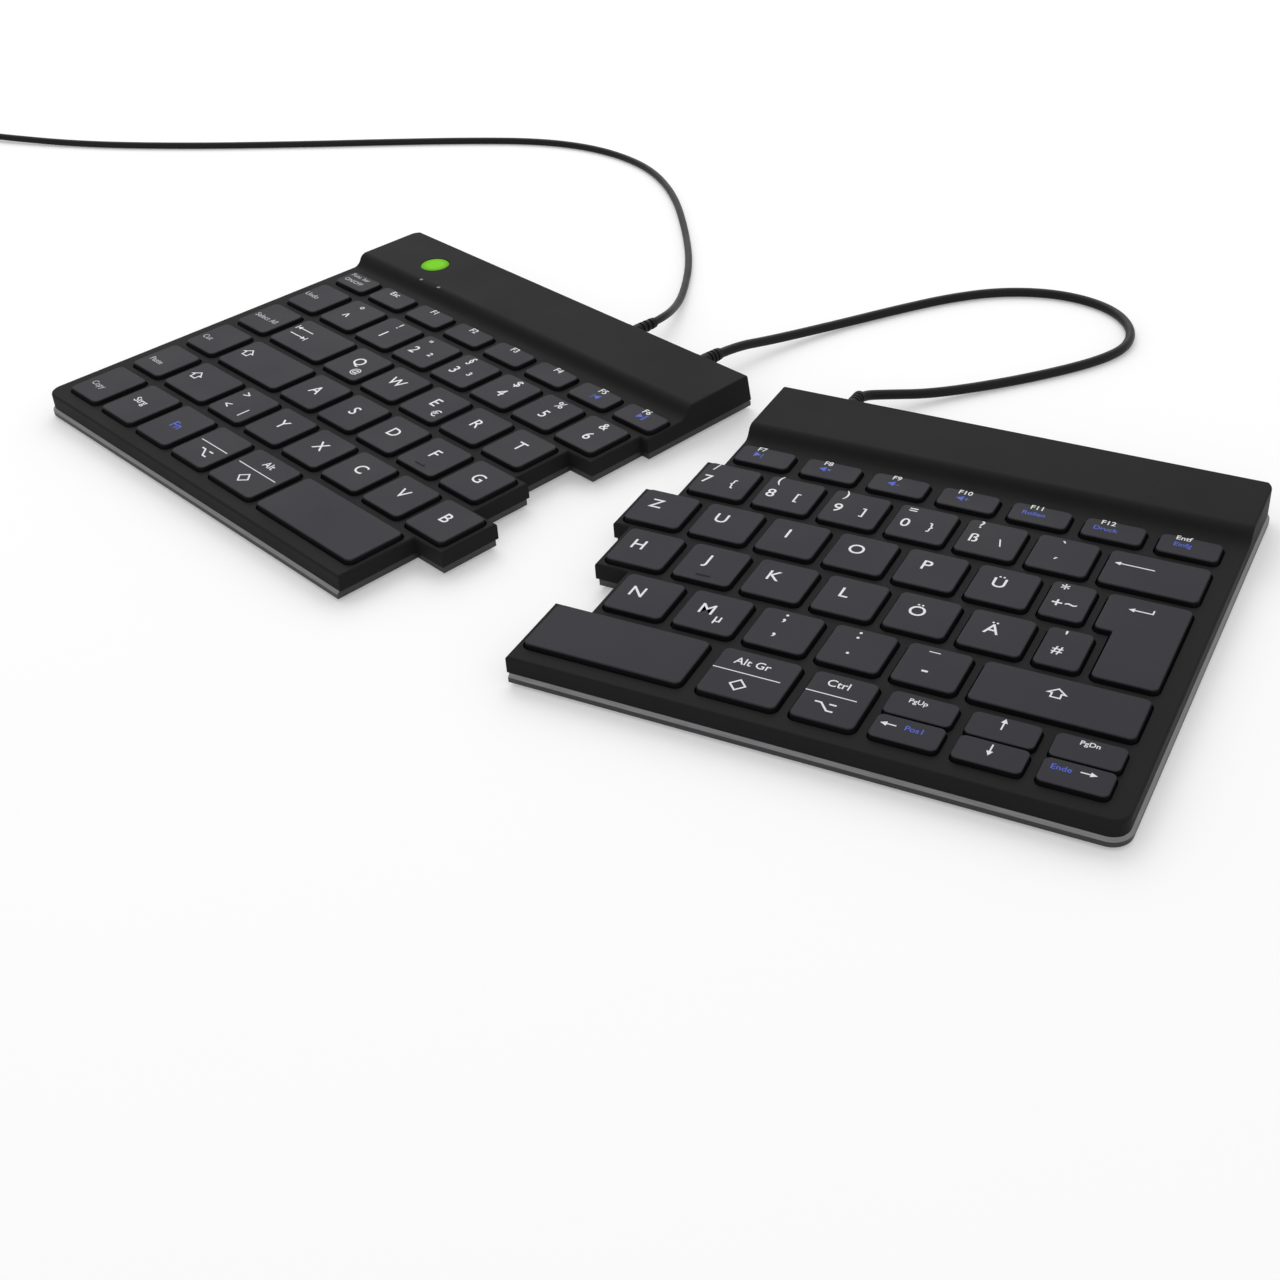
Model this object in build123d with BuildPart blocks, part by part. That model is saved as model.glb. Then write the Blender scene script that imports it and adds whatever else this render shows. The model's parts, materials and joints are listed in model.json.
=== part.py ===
"""Ergonomic split keyboard: two flat halves, their keys, inner parts and cables.

Each half is drawn in its own flat coordinates: x runs along the rows from the outer
left key column, y runs away from the user from the middle of the front row, and z
stands on the desk. A half's plane turns and moves those coordinates to where the half
lies. Millimetres, +Z up.
"""
import math
import os
from dataclasses import dataclass

from build123d import *

os.makedirs("parts", exist_ok=True)

# Heights above the desk
foot_height = 1.0
plate_thickness = 2.3
wall_height = 4.7
bar_rise = 3.7
key_rise = 1.3
plate_top = foot_height + plate_thickness
deck_top = plate_top + wall_height
bar_top = deck_top + bar_rise
key_top = deck_top + key_rise

# Key field
key_pitch = 19.0
side_gap = 3.2
row_gap = 3.6
front_row_extra = 2.3
function_row_gap = 3.9
function_key_depth = 8.4
function_key_width = 15.8
left_function_start = 1.5
left_function_pitch = 19.62
right_function_start = 139.5
right_function_pitch = 19.78
macro_gap = 3.5
macro_width = 14.4
arrow_start = 218.2
arrow_pitch = 19.6
arrow_width = 16.4
arrow_split_gap = 0.6

# Key caps
cap_corner_radius = 1.6
cap_height = 3.0
cap_flare = 0.4
arrow_flare = 0.1
cap_wall = 1.1
cap_crown = 1.0
cap_clearance = 0.3
key_travel = 1.8
homing_bar_length = 3.6
homing_bar_width = 0.5
homing_bar_height = 0.25
homing_bar_inset = 2.6

# Casing
edge_margin = 2.1
left_back_margin = 1.3
outer_margin = 5.9
front_margin = 5.2
back_edge = 128.4
back_lean = 1.3
outer_corner_radius = 4.5
step_corner_radius = 2.4
slope_start = 99.2
slope_run = 5.6
slope_radius = 3.0
slope_tangent = 1.7
deck_thickness = 1.2
wall_thickness = 1.2
boss_sunk = 0.3
deck_edge_radius = 0.7
lens_diameter = 9.4
lens_thickness = 0.8
lens_clearance = 0.1
lens_x = 4.0
lens_y = 114.0
light_hole_diameter = 4.0
status_led_diameter = 1.2
status_led_x = 9.5
status_led_spacing = 9.0
status_led_y = 104.0
cut_overrun = 2.0

# Base plates, screws and feet
plate_proud = 0.7
plate_inset = 0.6
plate_chamfer = 0.9
screw_shank_diameter = 1.8
screw_head_diameter = 3.6
screw_head_height = 0.9
screw_length = 5.2
screw_clearance = 0.1
boss_diameter = 3.8
foot_diameter = 9.0
foot_inset = 9.0

# Inner sheets, domes and boards
sheet_thickness = 0.5
membrane_thickness = 0.3
sheet_clearance = 0.4
sheet_back_gap = 1.2
dome_radius = 2.4
dome_taper = 12
board_thickness = 1.2
board_depth = 15.0
board_y = 115.0
left_board_length = 60.0
left_board_x = 20.0
right_board_length = 44.0
right_board_x = 178.0

# Places along the bar as shares of its length, from the inner end
screw_bar_shares = (0.06, 0.5, 0.96)

# How the halves lie
splay_angle = 19.24
inner_gap = 11.9
inner_stagger = -0.3

# Strain reliefs
relief_height = 6.6
relief_flange_diameter = 6.2
relief_flange_thickness = 1.2
relief_flange_gap = 0.4
link_relief_x_left = 113.0
link_relief_x_right = 157.0
link_relief_diameter = 5.0
link_relief_tip_diameter = 4.2
link_relief_length = 6.0
usb_relief_x = 82.5
usb_relief_diameter = 4.4
usb_relief_tip_diameter = 3.8
usb_relief_length = 7.4
relief_clearance = 0.15

# Cables, coil, tie and plug
link_diameter = 3.0
lead_diameter = 2.5
exit_run = 8.0
link_exit_run = 10.0
cord_arc_share = 0.45
coil_radius = 22.0
coil_gap = 0.45
coil_half_turns_in = 9
coil_half_turns_out = 9
coil_sides = 6
coil_tail = 16.0
arc_samples = 12
tie_thickness = 0.5
tie_width = 6.0
tie_clearance = 0.1
plug_length = 26.0
plug_width = 15.6
plug_height = 9.0
plug_corner_radius = 2.0
plug_neck_length = 7.0
plug_neck_diameter = 5.0
shell_length = 18.8
shell_width = 12.0
shell_height = 4.5
shell_wall = 0.3
shell_seat = 2.0
latch_hole_width = 2.2
latch_hole_spread = 5.0
latch_hole_setback = 6.0
tongue_height = 1.84
tongue_setback = 0.6

sheet_top = plate_top + sheet_thickness
membrane_top = sheet_top + membrane_thickness
cap_bottom = key_top - cap_height
opening_floor = cap_bottom - key_travel - cap_clearance
dome_height = key_top - cap_crown - key_travel - cap_clearance - membrane_top
status_led_places = [(status_led_x + i * status_led_spacing, status_led_y) for i in range(2)]

# Key spans in key pitches, counted from the left column
tab_span_shares = (0, 1.5)
caps_span_shares = (0, 1.75)
left_shift_span_shares = (0, 1.25)
alt_span_shares = (3, 4.25)
left_space_span_shares = (4.25, 6.66)
right_space_span_shares = (6.71, 9.09)
alt_gr_span_shares = (9.14, 10.37)
right_control_span_shares = (10.39, 11.39)
plus_span_shares = (12.5, 13.25)
hash_span_shares = (12.75, 13.5)
backspace_span_shares = (13, 14.5)
enter_top_span_shares = (13.25, 14.5)
enter_low_span_shares = (13.5, 14.5)
right_shift_span_shares = (12.25, 14.5)


@dataclass
class Row:
    """One row of keys: its front and back edges at the key tops."""

    front: float
    back: float


def letter_row(index):
    """Row edges of a full-depth row, counted from the front row."""
    half_depth = (key_pitch - row_gap) / 2
    return Row(index * key_pitch - half_depth, index * key_pitch + half_depth)


lower_row = letter_row(1)
home_row = letter_row(2)
upper_row = letter_row(3)
number_row = letter_row(4)
front_row = Row(letter_row(0).front - front_row_extra, letter_row(0).back)
function_front = number_row.back + function_row_gap
function_row = Row(function_front, function_front + function_key_depth)
rows = [front_row, lower_row, home_row, upper_row, number_row, function_row]
front_edge = front_row.front - front_margin
field_right_edge = backspace_span_shares[1] * key_pitch - side_gap / 2


@dataclass
class Box2D:
    """An upright rectangle in a half's flat coordinates."""

    x0: float
    x1: float
    y0: float
    y1: float

    @property
    def centre(self):
        """Middle of the rectangle."""
        return ((self.x0 + self.x1) / 2, (self.y0 + self.y1) / 2)

    def grown(self, amount):
        """The rectangle moved out by one amount on all sides."""
        return Box2D(self.x0 - amount, self.x1 + amount, self.y0 - amount, self.y1 + amount)


def key_box(span_shares, row):
    """Top face of a key that spans the given key pitches in a row."""
    start, end = span_shares
    return Box2D(
        start * key_pitch + side_gap / 2, end * key_pitch - side_gap / 2, row.front, row.back
    )


def key_run(first_share, count, row):
    """Neighbouring keys of one pitch each."""
    return [key_box((first_share + i, first_share + i + 1), row) for i in range(count)]


def function_run(start, pitch, count):
    """Low keys of the function row, which has a pitch of its own."""
    lefts = [start + i * pitch for i in range(count)]
    return [Box2D(x, x + function_key_width, function_row.front, function_row.back) for x in lefts]


macro_right = side_gap / 2 - macro_gap
macro_keys = [Box2D(macro_right - macro_width, macro_right, r.front, r.back) for r in rows]
left_function = function_run(left_function_start, left_function_pitch, 7)
right_function = function_run(right_function_start, right_function_pitch, 7)
left_home = key_run(1.75, 5, home_row)
right_home = key_run(6.75, 6, home_row)
left_corner_keys = key_run(0, 3, front_row)
arrow_split = (front_row.front + front_row.back) / 2
arrow_upper = Row(arrow_split + arrow_split_gap / 2, front_row.back)
arrow_lower = Row(front_row.front, arrow_split - arrow_split_gap / 2)


def arrow_key(column, row):
    """One half-depth key of the arrow block."""
    x0 = arrow_start + column * arrow_pitch
    return Box2D(x0, x0 + arrow_width, row.front, row.back)


left_keys = {
    "escape_key": left_function[:1],
    "left_function_keys": left_function[1:],
    "macro_keys": macro_keys,
    "left_number_keys": key_run(0, 7, number_row),
    "tab_key": [key_box(tab_span_shares, upper_row)],
    "left_upper_letter_keys": key_run(1.5, 5, upper_row),
    "caps_lock_key": [key_box(caps_span_shares, home_row)],
    "left_home_letter_keys": left_home[:3] + left_home[4:],
    "f_homing_key": left_home[3:4],
    "left_shift_key": [key_box(left_shift_span_shares, lower_row)],
    "left_lower_letter_keys": key_run(1.25, 6, lower_row),
    "left_control_key": left_corner_keys[:1],
    "fn_key": left_corner_keys[1:2],
    "option_key": left_corner_keys[2:],
    "alt_key": [key_box(alt_span_shares, front_row)],
    "left_space_key": [key_box(left_space_span_shares, front_row)],
}
right_keys = {
    "right_function_keys": right_function[:6],
    "delete_key": right_function[6:],
    "right_number_keys": key_run(7, 6, number_row),
    "backspace_key": [key_box(backspace_span_shares, number_row)],
    "right_upper_letter_keys": key_run(6.5, 6, upper_row) + [key_box(plus_span_shares, upper_row)],
    "right_home_letter_keys": (
        right_home[:1] + right_home[2:] + [key_box(hash_span_shares, home_row)]
    ),
    "j_homing_key": right_home[1:2],
    "right_lower_letter_keys": key_run(7.25, 5, lower_row),
    "right_shift_key": [key_box(right_shift_span_shares, lower_row)],
    "right_space_key": [key_box(right_space_span_shares, front_row)],
    "alt_gr_key": [key_box(alt_gr_span_shares, front_row)],
    "right_control_key": [key_box(right_control_span_shares, front_row)],
    "page_up_key": [arrow_key(0, arrow_upper)],
    "up_arrow_key": [arrow_key(1, arrow_upper)],
    "page_down_key": [arrow_key(2, arrow_upper)],
    "left_arrow_key": [arrow_key(0, arrow_lower)],
    "down_arrow_key": [arrow_key(1, arrow_lower)],
    "right_arrow_key": [arrow_key(2, arrow_lower)],
}
arrow_nodes = list(right_keys)[-6:]
homing_nodes = ("f_homing_key", "j_homing_key")
enter_upper = key_box(enter_top_span_shares, upper_row)
enter_low = key_box(enter_low_span_shares, home_row)
enter_low.y1 = enter_upper.y0 + cap_corner_radius


@dataclass
class Half:
    """One half of the keyboard: its side (-1 left, 1 right), its keys and its plane."""

    name: str
    side: int
    keys: dict
    plane: Plane

    def inner_edges(self):
        """Inner edge of the deck beside each row, front row first."""
        boxes = [box for group in self.keys.values() for box in group]
        edges = []
        for row in rows:
            in_row = [b for b in boxes if row.front <= b.centre[1] <= row.back]
            if self.side > 0:
                edges.append(min(b.x0 for b in in_row) - edge_margin)
            else:
                edges.append(max(b.x1 for b in in_row) + edge_margin)
        if self.side < 0:
            edges[-1] += left_back_margin - edge_margin
        return edges

    def outer_edge(self):
        """Outer edge of the deck."""
        if self.side > 0:
            return field_right_edge + outer_margin
        return macro_keys[0].x0 - outer_margin

    def inner_corner(self):
        """Back inner corner of the deck."""
        return (self.inner_edges()[-1], back_edge)

    def outline(self, outer=0.0, front=0.0, inner=0.0, back=0.0):
        """Corner points of the stepped outline, moved out by an amount on each side."""
        edges = [x - self.side * inner for x in self.inner_edges()]
        outer_x = self.outer_edge() + self.side * outer
        points = [(outer_x, front_edge - front), (edges[0], front_edge - front)]
        for below, above, row, next_row in zip(edges, edges[1:], rows, rows[1:]):
            step_y = (row.back + next_row.front) / 2
            # The wider row's side moves out with the wall, so the notch does too
            step_y += inner * (1 if self.side * (below - above) < 0 else -1)
            points += [(below, step_y), (above, step_y)]
        points += [(edges[-1], back_edge + back), (outer_x, back_edge + back)]
        return points

    def world(self, x, y, z=0.0):
        """A point of the half's flat coordinates in the model's coordinates."""
        return self.plane.from_local_coords((x, y, z))


def half_plane(side, corner, shift=(0.0, 0.0)):
    """Plane of a half, turned by half the splay about its back inner corner."""
    turn = side * math.radians(splay_angle / 2)
    x, y = corner
    corner_x = side * inner_gap / 2 - shift[0]
    corner_y = (inner_stagger if side < 0 else 0.0) - shift[1]
    origin_x = corner_x - (x * math.cos(turn) - y * math.sin(turn))
    origin_y = corner_y - (x * math.sin(turn) + y * math.cos(turn))
    x_dir = (math.cos(turn), math.sin(turn), 0)
    return Plane(origin=(origin_x, origin_y, 0), x_dir=x_dir, z_dir=(0, 0, 1))


def plate_outline(half):
    """Outline of the steel plate: proud at the front and outside, inset at the steps."""
    return half.outline(outer=plate_proud, front=plate_proud, inner=-plate_inset)


def split_corners(half, sketch):
    """Corners of an outline on the outer side, and the rest along the steps."""
    corners = sketch.vertices().sort_by(Axis.X)
    if half.side > 0:
        return corners[-2:], corners[:-2]
    return corners[:2], corners[2:]


def world_extent(halves):
    """Middle of the ground covered by both plates and the strain reliefs."""
    box = None
    for half in halves:
        with BuildSketch(half.plane) as ground:
            with BuildLine():
                Polyline(*plate_outline(half), close=True)
            make_face()
            fillet(split_corners(half, ground)[0], outer_corner_radius + plate_proud)
        ground_box = ground.sketch.bounding_box()
        box = ground_box if box is None else box.add(ground_box)
    tips = [
        left_half.world(link_relief_x_left, back_edge + link_relief_length),
        right_half.world(link_relief_x_right, back_edge + link_relief_length),
    ]
    top_y = max(box.max.Y, max(tip.Y for tip in tips))
    return ((box.min.X + box.max.X) / 2, (box.min.Y + top_y) / 2)


right_all_keys = right_keys | {"enter_key": [enter_upper, enter_low]}
left_half = Half("left", -1, left_keys, Plane.XY)
right_half = Half("right", 1, right_all_keys, Plane.XY)
halves = [left_half, right_half]
for half in halves:
    half.plane = half_plane(half.side, half.inner_corner())
centre_shift = world_extent(halves)
for half in halves:
    half.plane = half_plane(half.side, half.inner_corner(), centre_shift)
    print(half.name, "plane origin", [round(v, 3) for v in half.plane.origin])


# Hand-chosen route points of the cables, in the model's coordinates
link_route = [
    (-12.7, 96.0, 4.0),
    (-6.0, 115.5, 1.9),
    (5.0, 140.5, 1.5),
    (16.7, 157.0, 1.5),
    (35.0, 167.5, 1.5),
    (55.5, 168.2, 1.5),
    (69.8, 157.0, 1.5),
    (74.0, 140.0, 1.5),
    (66.0, 123.8, 1.5),
    (54.0, 106.6, 1.9),
    (40.3, 88.9, 4.4),
]
lead_route = [
    (-53.4, 93.7, 4.4),
    (-63.1, 107.0, 1.9),
    (-76.7, 126.9, 1.25),
    (-94.0, 147.2, 1.25),
    (-114.6, 170.5, 1.25),
    (-133.4, 186.3, 1.25),
    (-151.3, 194.2, 1.25),
    (-170.6, 194.7, 1.25),
    (-188.6, 187.2, 1.25),
    (-209.3, 172.7, 1.25),
    (-235.8, 153.7, 1.25),
    (-269.6, 131.7, 1.25),
    (-307.8, 109.1, 1.25),
    (-345.9, 91.4, 1.25),
    (-381.3, 80.3, 1.85),
    (-412.6, 72.3, 1.85),
]


def save(part, label):
    """Label a finished piece and write it."""
    part.label = label
    export_step(part, f"parts/{label}.step")
    print(f"{label}: {len(part.solids())} solids, {part.volume:.0f} mm3")


def side_plane(half, x=0.0):
    """Upright plane at a place along the rows; its x runs along the half's y."""
    return Plane(origin=half.world(x, 0), x_dir=half.plane.y_dir, z_dir=half.plane.x_dir)


def is_seam(half, edge):
    """Whether an edge runs along the bar where its slope meets a flat."""
    middle = half.plane.to_local_coords(edge @ 0.5)
    return front_edge + outer_margin < middle.Y < back_edge - outer_margin and (
        edge.length > key_pitch * 2 and abs((edge % 0.5).dot(half.plane.x_dir)) > 0.9
    )


def screw_places(half):
    """Screws stand beside the keys on the outer side and along the bar."""
    strip_x = half.outer_edge() - half.side * (wall_thickness + boss_diameter / 2 - boss_sunk)
    bar_y = (slope_start + slope_run + back_edge - wall_thickness) / 2
    inner_x = half.inner_edges()[-1]
    reach = half.outer_edge() - inner_x
    bar_places = [(inner_x + share * reach, bar_y) for share in screw_bar_shares]
    return [(strip_x, lower_row.front), (strip_x, upper_row.back)], bar_places


def relief_sizes(half):
    """Strain reliefs of a half: name, place along the back wall, diameters and length."""
    link = (link_relief_diameter, link_relief_tip_diameter, link_relief_length)
    usb = (usb_relief_diameter, usb_relief_tip_diameter, usb_relief_length)
    if half.side > 0:
        return [("right_link_strain_relief", link_relief_x_right, *link)]
    return [
        ("left_link_strain_relief", link_relief_x_left, *link),
        ("usb_strain_relief", usb_relief_x, *usb),
    ]


def cap_points(boxes, grow):
    """Corners of a cap's outline; two boxes make the stepped enter key."""
    grown = [box.grown(grow) for box in boxes]
    first, last = grown[0], grown[-1]
    points = [(first.x1, first.y1), (first.x0, first.y1), (first.x0, first.y0)]
    if len(grown) > 1:
        points += [(last.x0, first.y0), (last.x0, last.y0)]
    return points + [(first.x1, last.y0)]


def rounded_corners(sketch, boxes):
    """All corners of a cap but the inner one of the stepped enter key."""
    if len(boxes) == 1:
        return sketch.vertices()
    inner = (boxes[-1].x0, boxes[0].y0)
    return sketch.vertices().sort_by_distance(inner)[1:]


def cap_outline(boxes, grow):
    """Outline of a cap or of its cut-out, with rounded corners."""
    with BuildSketch(Plane.XY) as outline:
        with BuildLine():
            Polyline(*cap_points(boxes, grow), close=True)
        make_face()
        fillet(rounded_corners(outline, boxes), cap_corner_radius + grow)
    return outline.sketch


def single_keys(node, boxes):
    """The boxes of a node grouped key by key; the enter key is one key of two boxes."""
    return [boxes] if node == "enter_key" else [[box] for box in boxes]


def flare_of(node):
    """How far a node's skirts spread beyond the key tops."""
    return arrow_flare if node in arrow_nodes else cap_flare


def top_cover(half):
    """Top casing: level deck, raised bar, walls, bosses and one cut-out for each key."""
    bar_under = bar_top - deck_thickness
    deck_under = deck_top - deck_thickness
    crest = slope_start + slope_run
    inner_x, outer_x = sorted((half.inner_edges()[-1], half.outer_edge()))
    side_places, bar_places = screw_places(half)
    with BuildPart(half.plane) as shell:
        with BuildSketch(half.plane.offset(plate_top)) as floor:
            with BuildLine():
                Polyline(*half.outline(), close=True)
            make_face()
            outer_corners, step_corners = split_corners(half, floor)
            fillet(outer_corners, outer_corner_radius)
            fillet(step_corners, step_corner_radius)
        extrude(amount=bar_top)
        with BuildSketch(side_plane(half, inner_x - cut_overrun)):
            with BuildLine():
                FilletPolyline(
                    (front_edge - cut_overrun, deck_top),
                    (slope_start + slope_tangent, deck_top),
                    (crest - slope_tangent, bar_top),
                    (back_edge - back_lean, bar_top),
                    radius=slope_radius,
                )
                Polyline(
                    (back_edge - back_lean, bar_top),
                    (back_edge, plate_top),
                    (front_edge - cut_overrun, plate_top),
                    (front_edge - cut_overrun, deck_top),
                )
            make_face()
        extrude(amount=2 * (outer_x - inner_x), both=True, mode=Mode.INTERSECT)
        rim = [
            edge
            for edge in shell.edges()
            if (edge @ 0.5).Z > deck_top - deck_thickness / 2 and not is_seam(half, edge)
        ]
        fillet(rim, deck_edge_radius)
        with BuildSketch(half.plane.offset(plate_top)):
            with BuildLine():
                inset = -wall_thickness
                back_inset = inset - back_lean / 2
                Polyline(*half.outline(inset, inset, inset, back_inset), close=True)
            make_face()
        extrude(amount=deck_under - plate_top, mode=Mode.SUBTRACT)
        with BuildSketch(side_plane(half, inner_x + wall_thickness)):
            with BuildLine():
                Polyline(
                    (slope_start + slope_run / 2, plate_top),
                    (slope_start + slope_run / 2, deck_under),
                    (crest, bar_under),
                    (back_edge - back_lean - wall_thickness, bar_under),
                    (back_edge - back_lean / 2 - wall_thickness, deck_under),
                    (back_edge - back_lean / 2 - wall_thickness, plate_top),
                    close=True,
                )
            make_face()
        extrude(amount=outer_x - inner_x - 2 * wall_thickness, mode=Mode.SUBTRACT)
        with BuildSketch(half.plane.offset(opening_floor)):
            for node, boxes in half.keys.items():
                for key in single_keys(node, boxes):
                    add(cap_outline(key, flare_of(node) + cap_clearance))
        extrude(amount=bar_top - opening_floor, mode=Mode.SUBTRACT)
        for places, ceiling in ((side_places, deck_under), (bar_places, bar_under)):
            with BuildSketch(half.plane.offset(plate_top)):
                with Locations(*places):
                    Circle(boss_diameter / 2)
            extrude(amount=ceiling - plate_top)
            with BuildSketch(half.plane.offset(plate_top)):
                with Locations(*places):
                    Circle((screw_shank_diameter + screw_clearance) / 2)
            extrude(amount=screw_length - plate_thickness, mode=Mode.SUBTRACT)
        for _, x, diameter, *_ in relief_sizes(half):
            back_plane = Plane(
                origin=half.world(x, back_edge + cut_overrun, relief_height),
                x_dir=half.plane.x_dir,
                z_dir=-half.plane.y_dir,
            )
            with BuildSketch(back_plane):
                Circle(diameter / 2 + relief_clearance)
            extrude(amount=2 * cut_overrun + wall_thickness + back_lean, mode=Mode.SUBTRACT)
        if half.side < 0:
            with BuildSketch(half.plane.offset(bar_top - lens_thickness)):
                with Locations((lens_x, lens_y)):
                    Circle(lens_diameter / 2 + lens_clearance)
            extrude(amount=lens_thickness + cut_overrun, mode=Mode.SUBTRACT)
            with BuildSketch(half.plane.offset(bar_under - cut_overrun)):
                with Locations((lens_x, lens_y)):
                    Circle(light_hole_diameter / 2)
                with Locations(*status_led_places):
                    Circle(status_led_diameter / 2 + lens_clearance)
            extrude(amount=2 * cut_overrun + deck_thickness, mode=Mode.SUBTRACT)
    return shell.part


def base_plate(half):
    """Flat steel plate with a bright chamfer at the front, outside and back."""
    side_places, bar_places = screw_places(half)
    with BuildPart(half.plane) as plate:
        with BuildSketch(half.plane.offset(foot_height)) as ground:
            with BuildLine():
                Polyline(*plate_outline(half), close=True)
            make_face()
            fillet(split_corners(half, ground)[0], outer_corner_radius + plate_proud)
        extrude(amount=plate_thickness)
        top_edges = plate.edges().group_by(Axis.Z)[-1]
        outer_x = half.outer_edge() + half.side * plate_proud
        side_edge = top_edges.filter_by(
            lambda e: abs(half.plane.to_local_coords(e @ 0.5).X - outer_x) < plate_proud / 2
        )
        chamfer(side_edge, plate_chamfer)
        with BuildSketch(half.plane.offset(foot_height)):
            with Locations(*side_places, *bar_places):
                Circle(screw_shank_diameter / 2 + screw_clearance)
        extrude(amount=plate_thickness, mode=Mode.SUBTRACT)
        with BuildSketch(half.plane.offset(foot_height)):
            with Locations(*side_places, *bar_places):
                Circle(screw_head_diameter / 2 + screw_clearance)
        extrude(amount=screw_head_height, mode=Mode.SUBTRACT)
    return plate.part


def base_screws():
    """Ten screws that hold the plates, with their heads let into the steel."""
    with BuildPart() as screws:
        for half in halves:
            side_places, bar_places = screw_places(half)
            for radius, height in (
                (screw_head_diameter / 2, screw_head_height),
                (screw_shank_diameter / 2, screw_length),
            ):
                with BuildSketch(half.plane.offset(foot_height)):
                    with Locations(*side_places, *bar_places):
                        Circle(radius)
                extrude(amount=height)
    return screws.part


def rubber_feet():
    """Four round feet under each half."""
    with BuildPart() as feet:
        for half in halves:
            inner_front, inner_back = half.inner_edges()[0], half.inner_edges()[-1]
            outer = half.outer_edge() - half.side * foot_inset
            front, back = front_edge + foot_inset, back_edge - foot_inset
            with BuildSketch(half.plane):
                with Locations(
                    (outer, front),
                    (outer, back),
                    (inner_front + half.side * foot_inset, front),
                    (inner_back + half.side * foot_inset, back),
                ):
                    Circle(foot_diameter / 2)
            extrude(amount=foot_height)
    return feet.part


def field_sheet(half, height, thickness):
    """Flat sheet under the key field, clear of the walls and screw bosses."""
    inset = -wall_thickness - sheet_clearance
    back = slope_start - sheet_back_gap - back_edge
    with BuildPart(half.plane) as sheet:
        with BuildSketch(half.plane.offset(height)):
            with BuildLine():
                Polyline(*half.outline(inset - boss_diameter, inset, inset, back), close=True)
            make_face()
        extrude(amount=thickness)
    return sheet.part


def rubber_domes(half):
    """One small return dome under each key, standing on the membrane."""
    centres = [box.centre for boxes in half.keys.values() for box in boxes]
    if half.side > 0:
        centres.remove(enter_low.centre)
    with BuildPart(half.plane) as domes:
        with BuildSketch(half.plane.offset(membrane_top)):
            with Locations(*centres):
                RegularPolygon(dome_radius, side_count=6)
        extrude(amount=dome_height, taper=dome_taper)
    return domes.part


def circuit_board(half):
    """Controller board that lies on the plate inside the bar."""
    x, length = (left_board_x, left_board_length) if half.side < 0 else (
        right_board_x,
        right_board_length,
    )
    with BuildPart(half.plane) as board:
        with BuildSketch(half.plane.offset(plate_top)):
            with Locations((x, board_y)):
                Rectangle(length, board_depth)
        extrude(amount=board_thickness)
    return board.part


def strain_relief(half, x, diameter, tip, length):
    """Flanged rubber sleeve that leads a cable out through the back wall."""
    flange_back = back_edge - back_lean - wall_thickness - relief_flange_gap
    flange_front = flange_back - relief_flange_thickness
    origin = half.world(x, 0, relief_height)
    with BuildPart() as relief:
        with BuildSketch(Plane(origin=origin, x_dir=half.plane.x_dir, z_dir=(0, 0, 1))):
            with BuildLine():
                Polyline(
                    (0, flange_front),
                    (relief_flange_diameter / 2, flange_front),
                    (relief_flange_diameter / 2, flange_back),
                    (diameter / 2, flange_back),
                    (diameter / 2, back_edge),
                    (tip / 2, back_edge + length),
                    (0, back_edge + length),
                    close=True,
                )
            make_face()
        revolve(axis=Axis(origin, half.plane.y_dir))
    return relief.part


def key_caps(half, node, boxes):
    """Flat key caps with tapered skirts, hollow underneath."""
    flare = flare_of(node)
    slant = math.degrees(math.atan(flare / cap_height))
    with BuildPart(half.plane) as caps:
        for key in single_keys(node, boxes):
            with BuildSketch(half.plane.offset(cap_bottom)):
                add(cap_outline(key, flare))
            extrude(amount=cap_height, taper=slant)
            with BuildSketch(half.plane.offset(cap_bottom)):
                with BuildLine():
                    Polyline(*cap_points(key, flare - cap_wall), close=True)
                make_face()
            extrude(amount=cap_height - cap_crown, mode=Mode.SUBTRACT)
        if node in homing_nodes:
            bar_place = (boxes[0].centre[0], boxes[0].y0 + homing_bar_inset)
            with BuildSketch(half.plane.offset(key_top)):
                with Locations(bar_place):
                    Rectangle(homing_bar_length, homing_bar_width)
            extrude(amount=homing_bar_height)
    return caps.part


def indicator_lens():
    """Round lit lens, flush in the left bar."""
    with BuildPart() as lens:
        with BuildSketch(left_half.plane.offset(bar_top - lens_thickness)):
            with Locations((lens_x, lens_y)):
                Circle(lens_diameter / 2)
        extrude(amount=lens_thickness)
    return lens.part


def status_leds():
    """Two light pins at the crest of the left bar."""
    with BuildPart() as pins:
        with BuildSketch(left_half.plane.offset(bar_top - deck_thickness - cap_crown)):
            with Locations(*status_led_places):
                Circle(status_led_diameter / 2)
        extrude(amount=deck_thickness + cap_crown - lens_clearance)
    return pins.part


def exit_points(half, x, relief_length, run):
    """Tip of a strain relief and the first route point straight behind it."""
    tip_y = back_edge + relief_length
    tip = half.world(x, tip_y, relief_height)
    return [tip, half.world(x, tip_y + run, relief_height)]


def corner_radii(name, points):
    """Arc radius at each inner route point, as large as its two runs allow."""
    radii = []
    for before, here, after in zip(points, points[1:], points[2:]):
        run_in, run_out = here - before, after - here
        half_turn = math.radians(run_in.get_angle(run_out) / 2)
        shorter = min(run_in.length, run_out.length)
        radii.append(cord_arc_share * shorter / math.tan(half_turn))
    print(name, "radii", [round(radius, 1) for radius in radii])
    return radii


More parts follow.
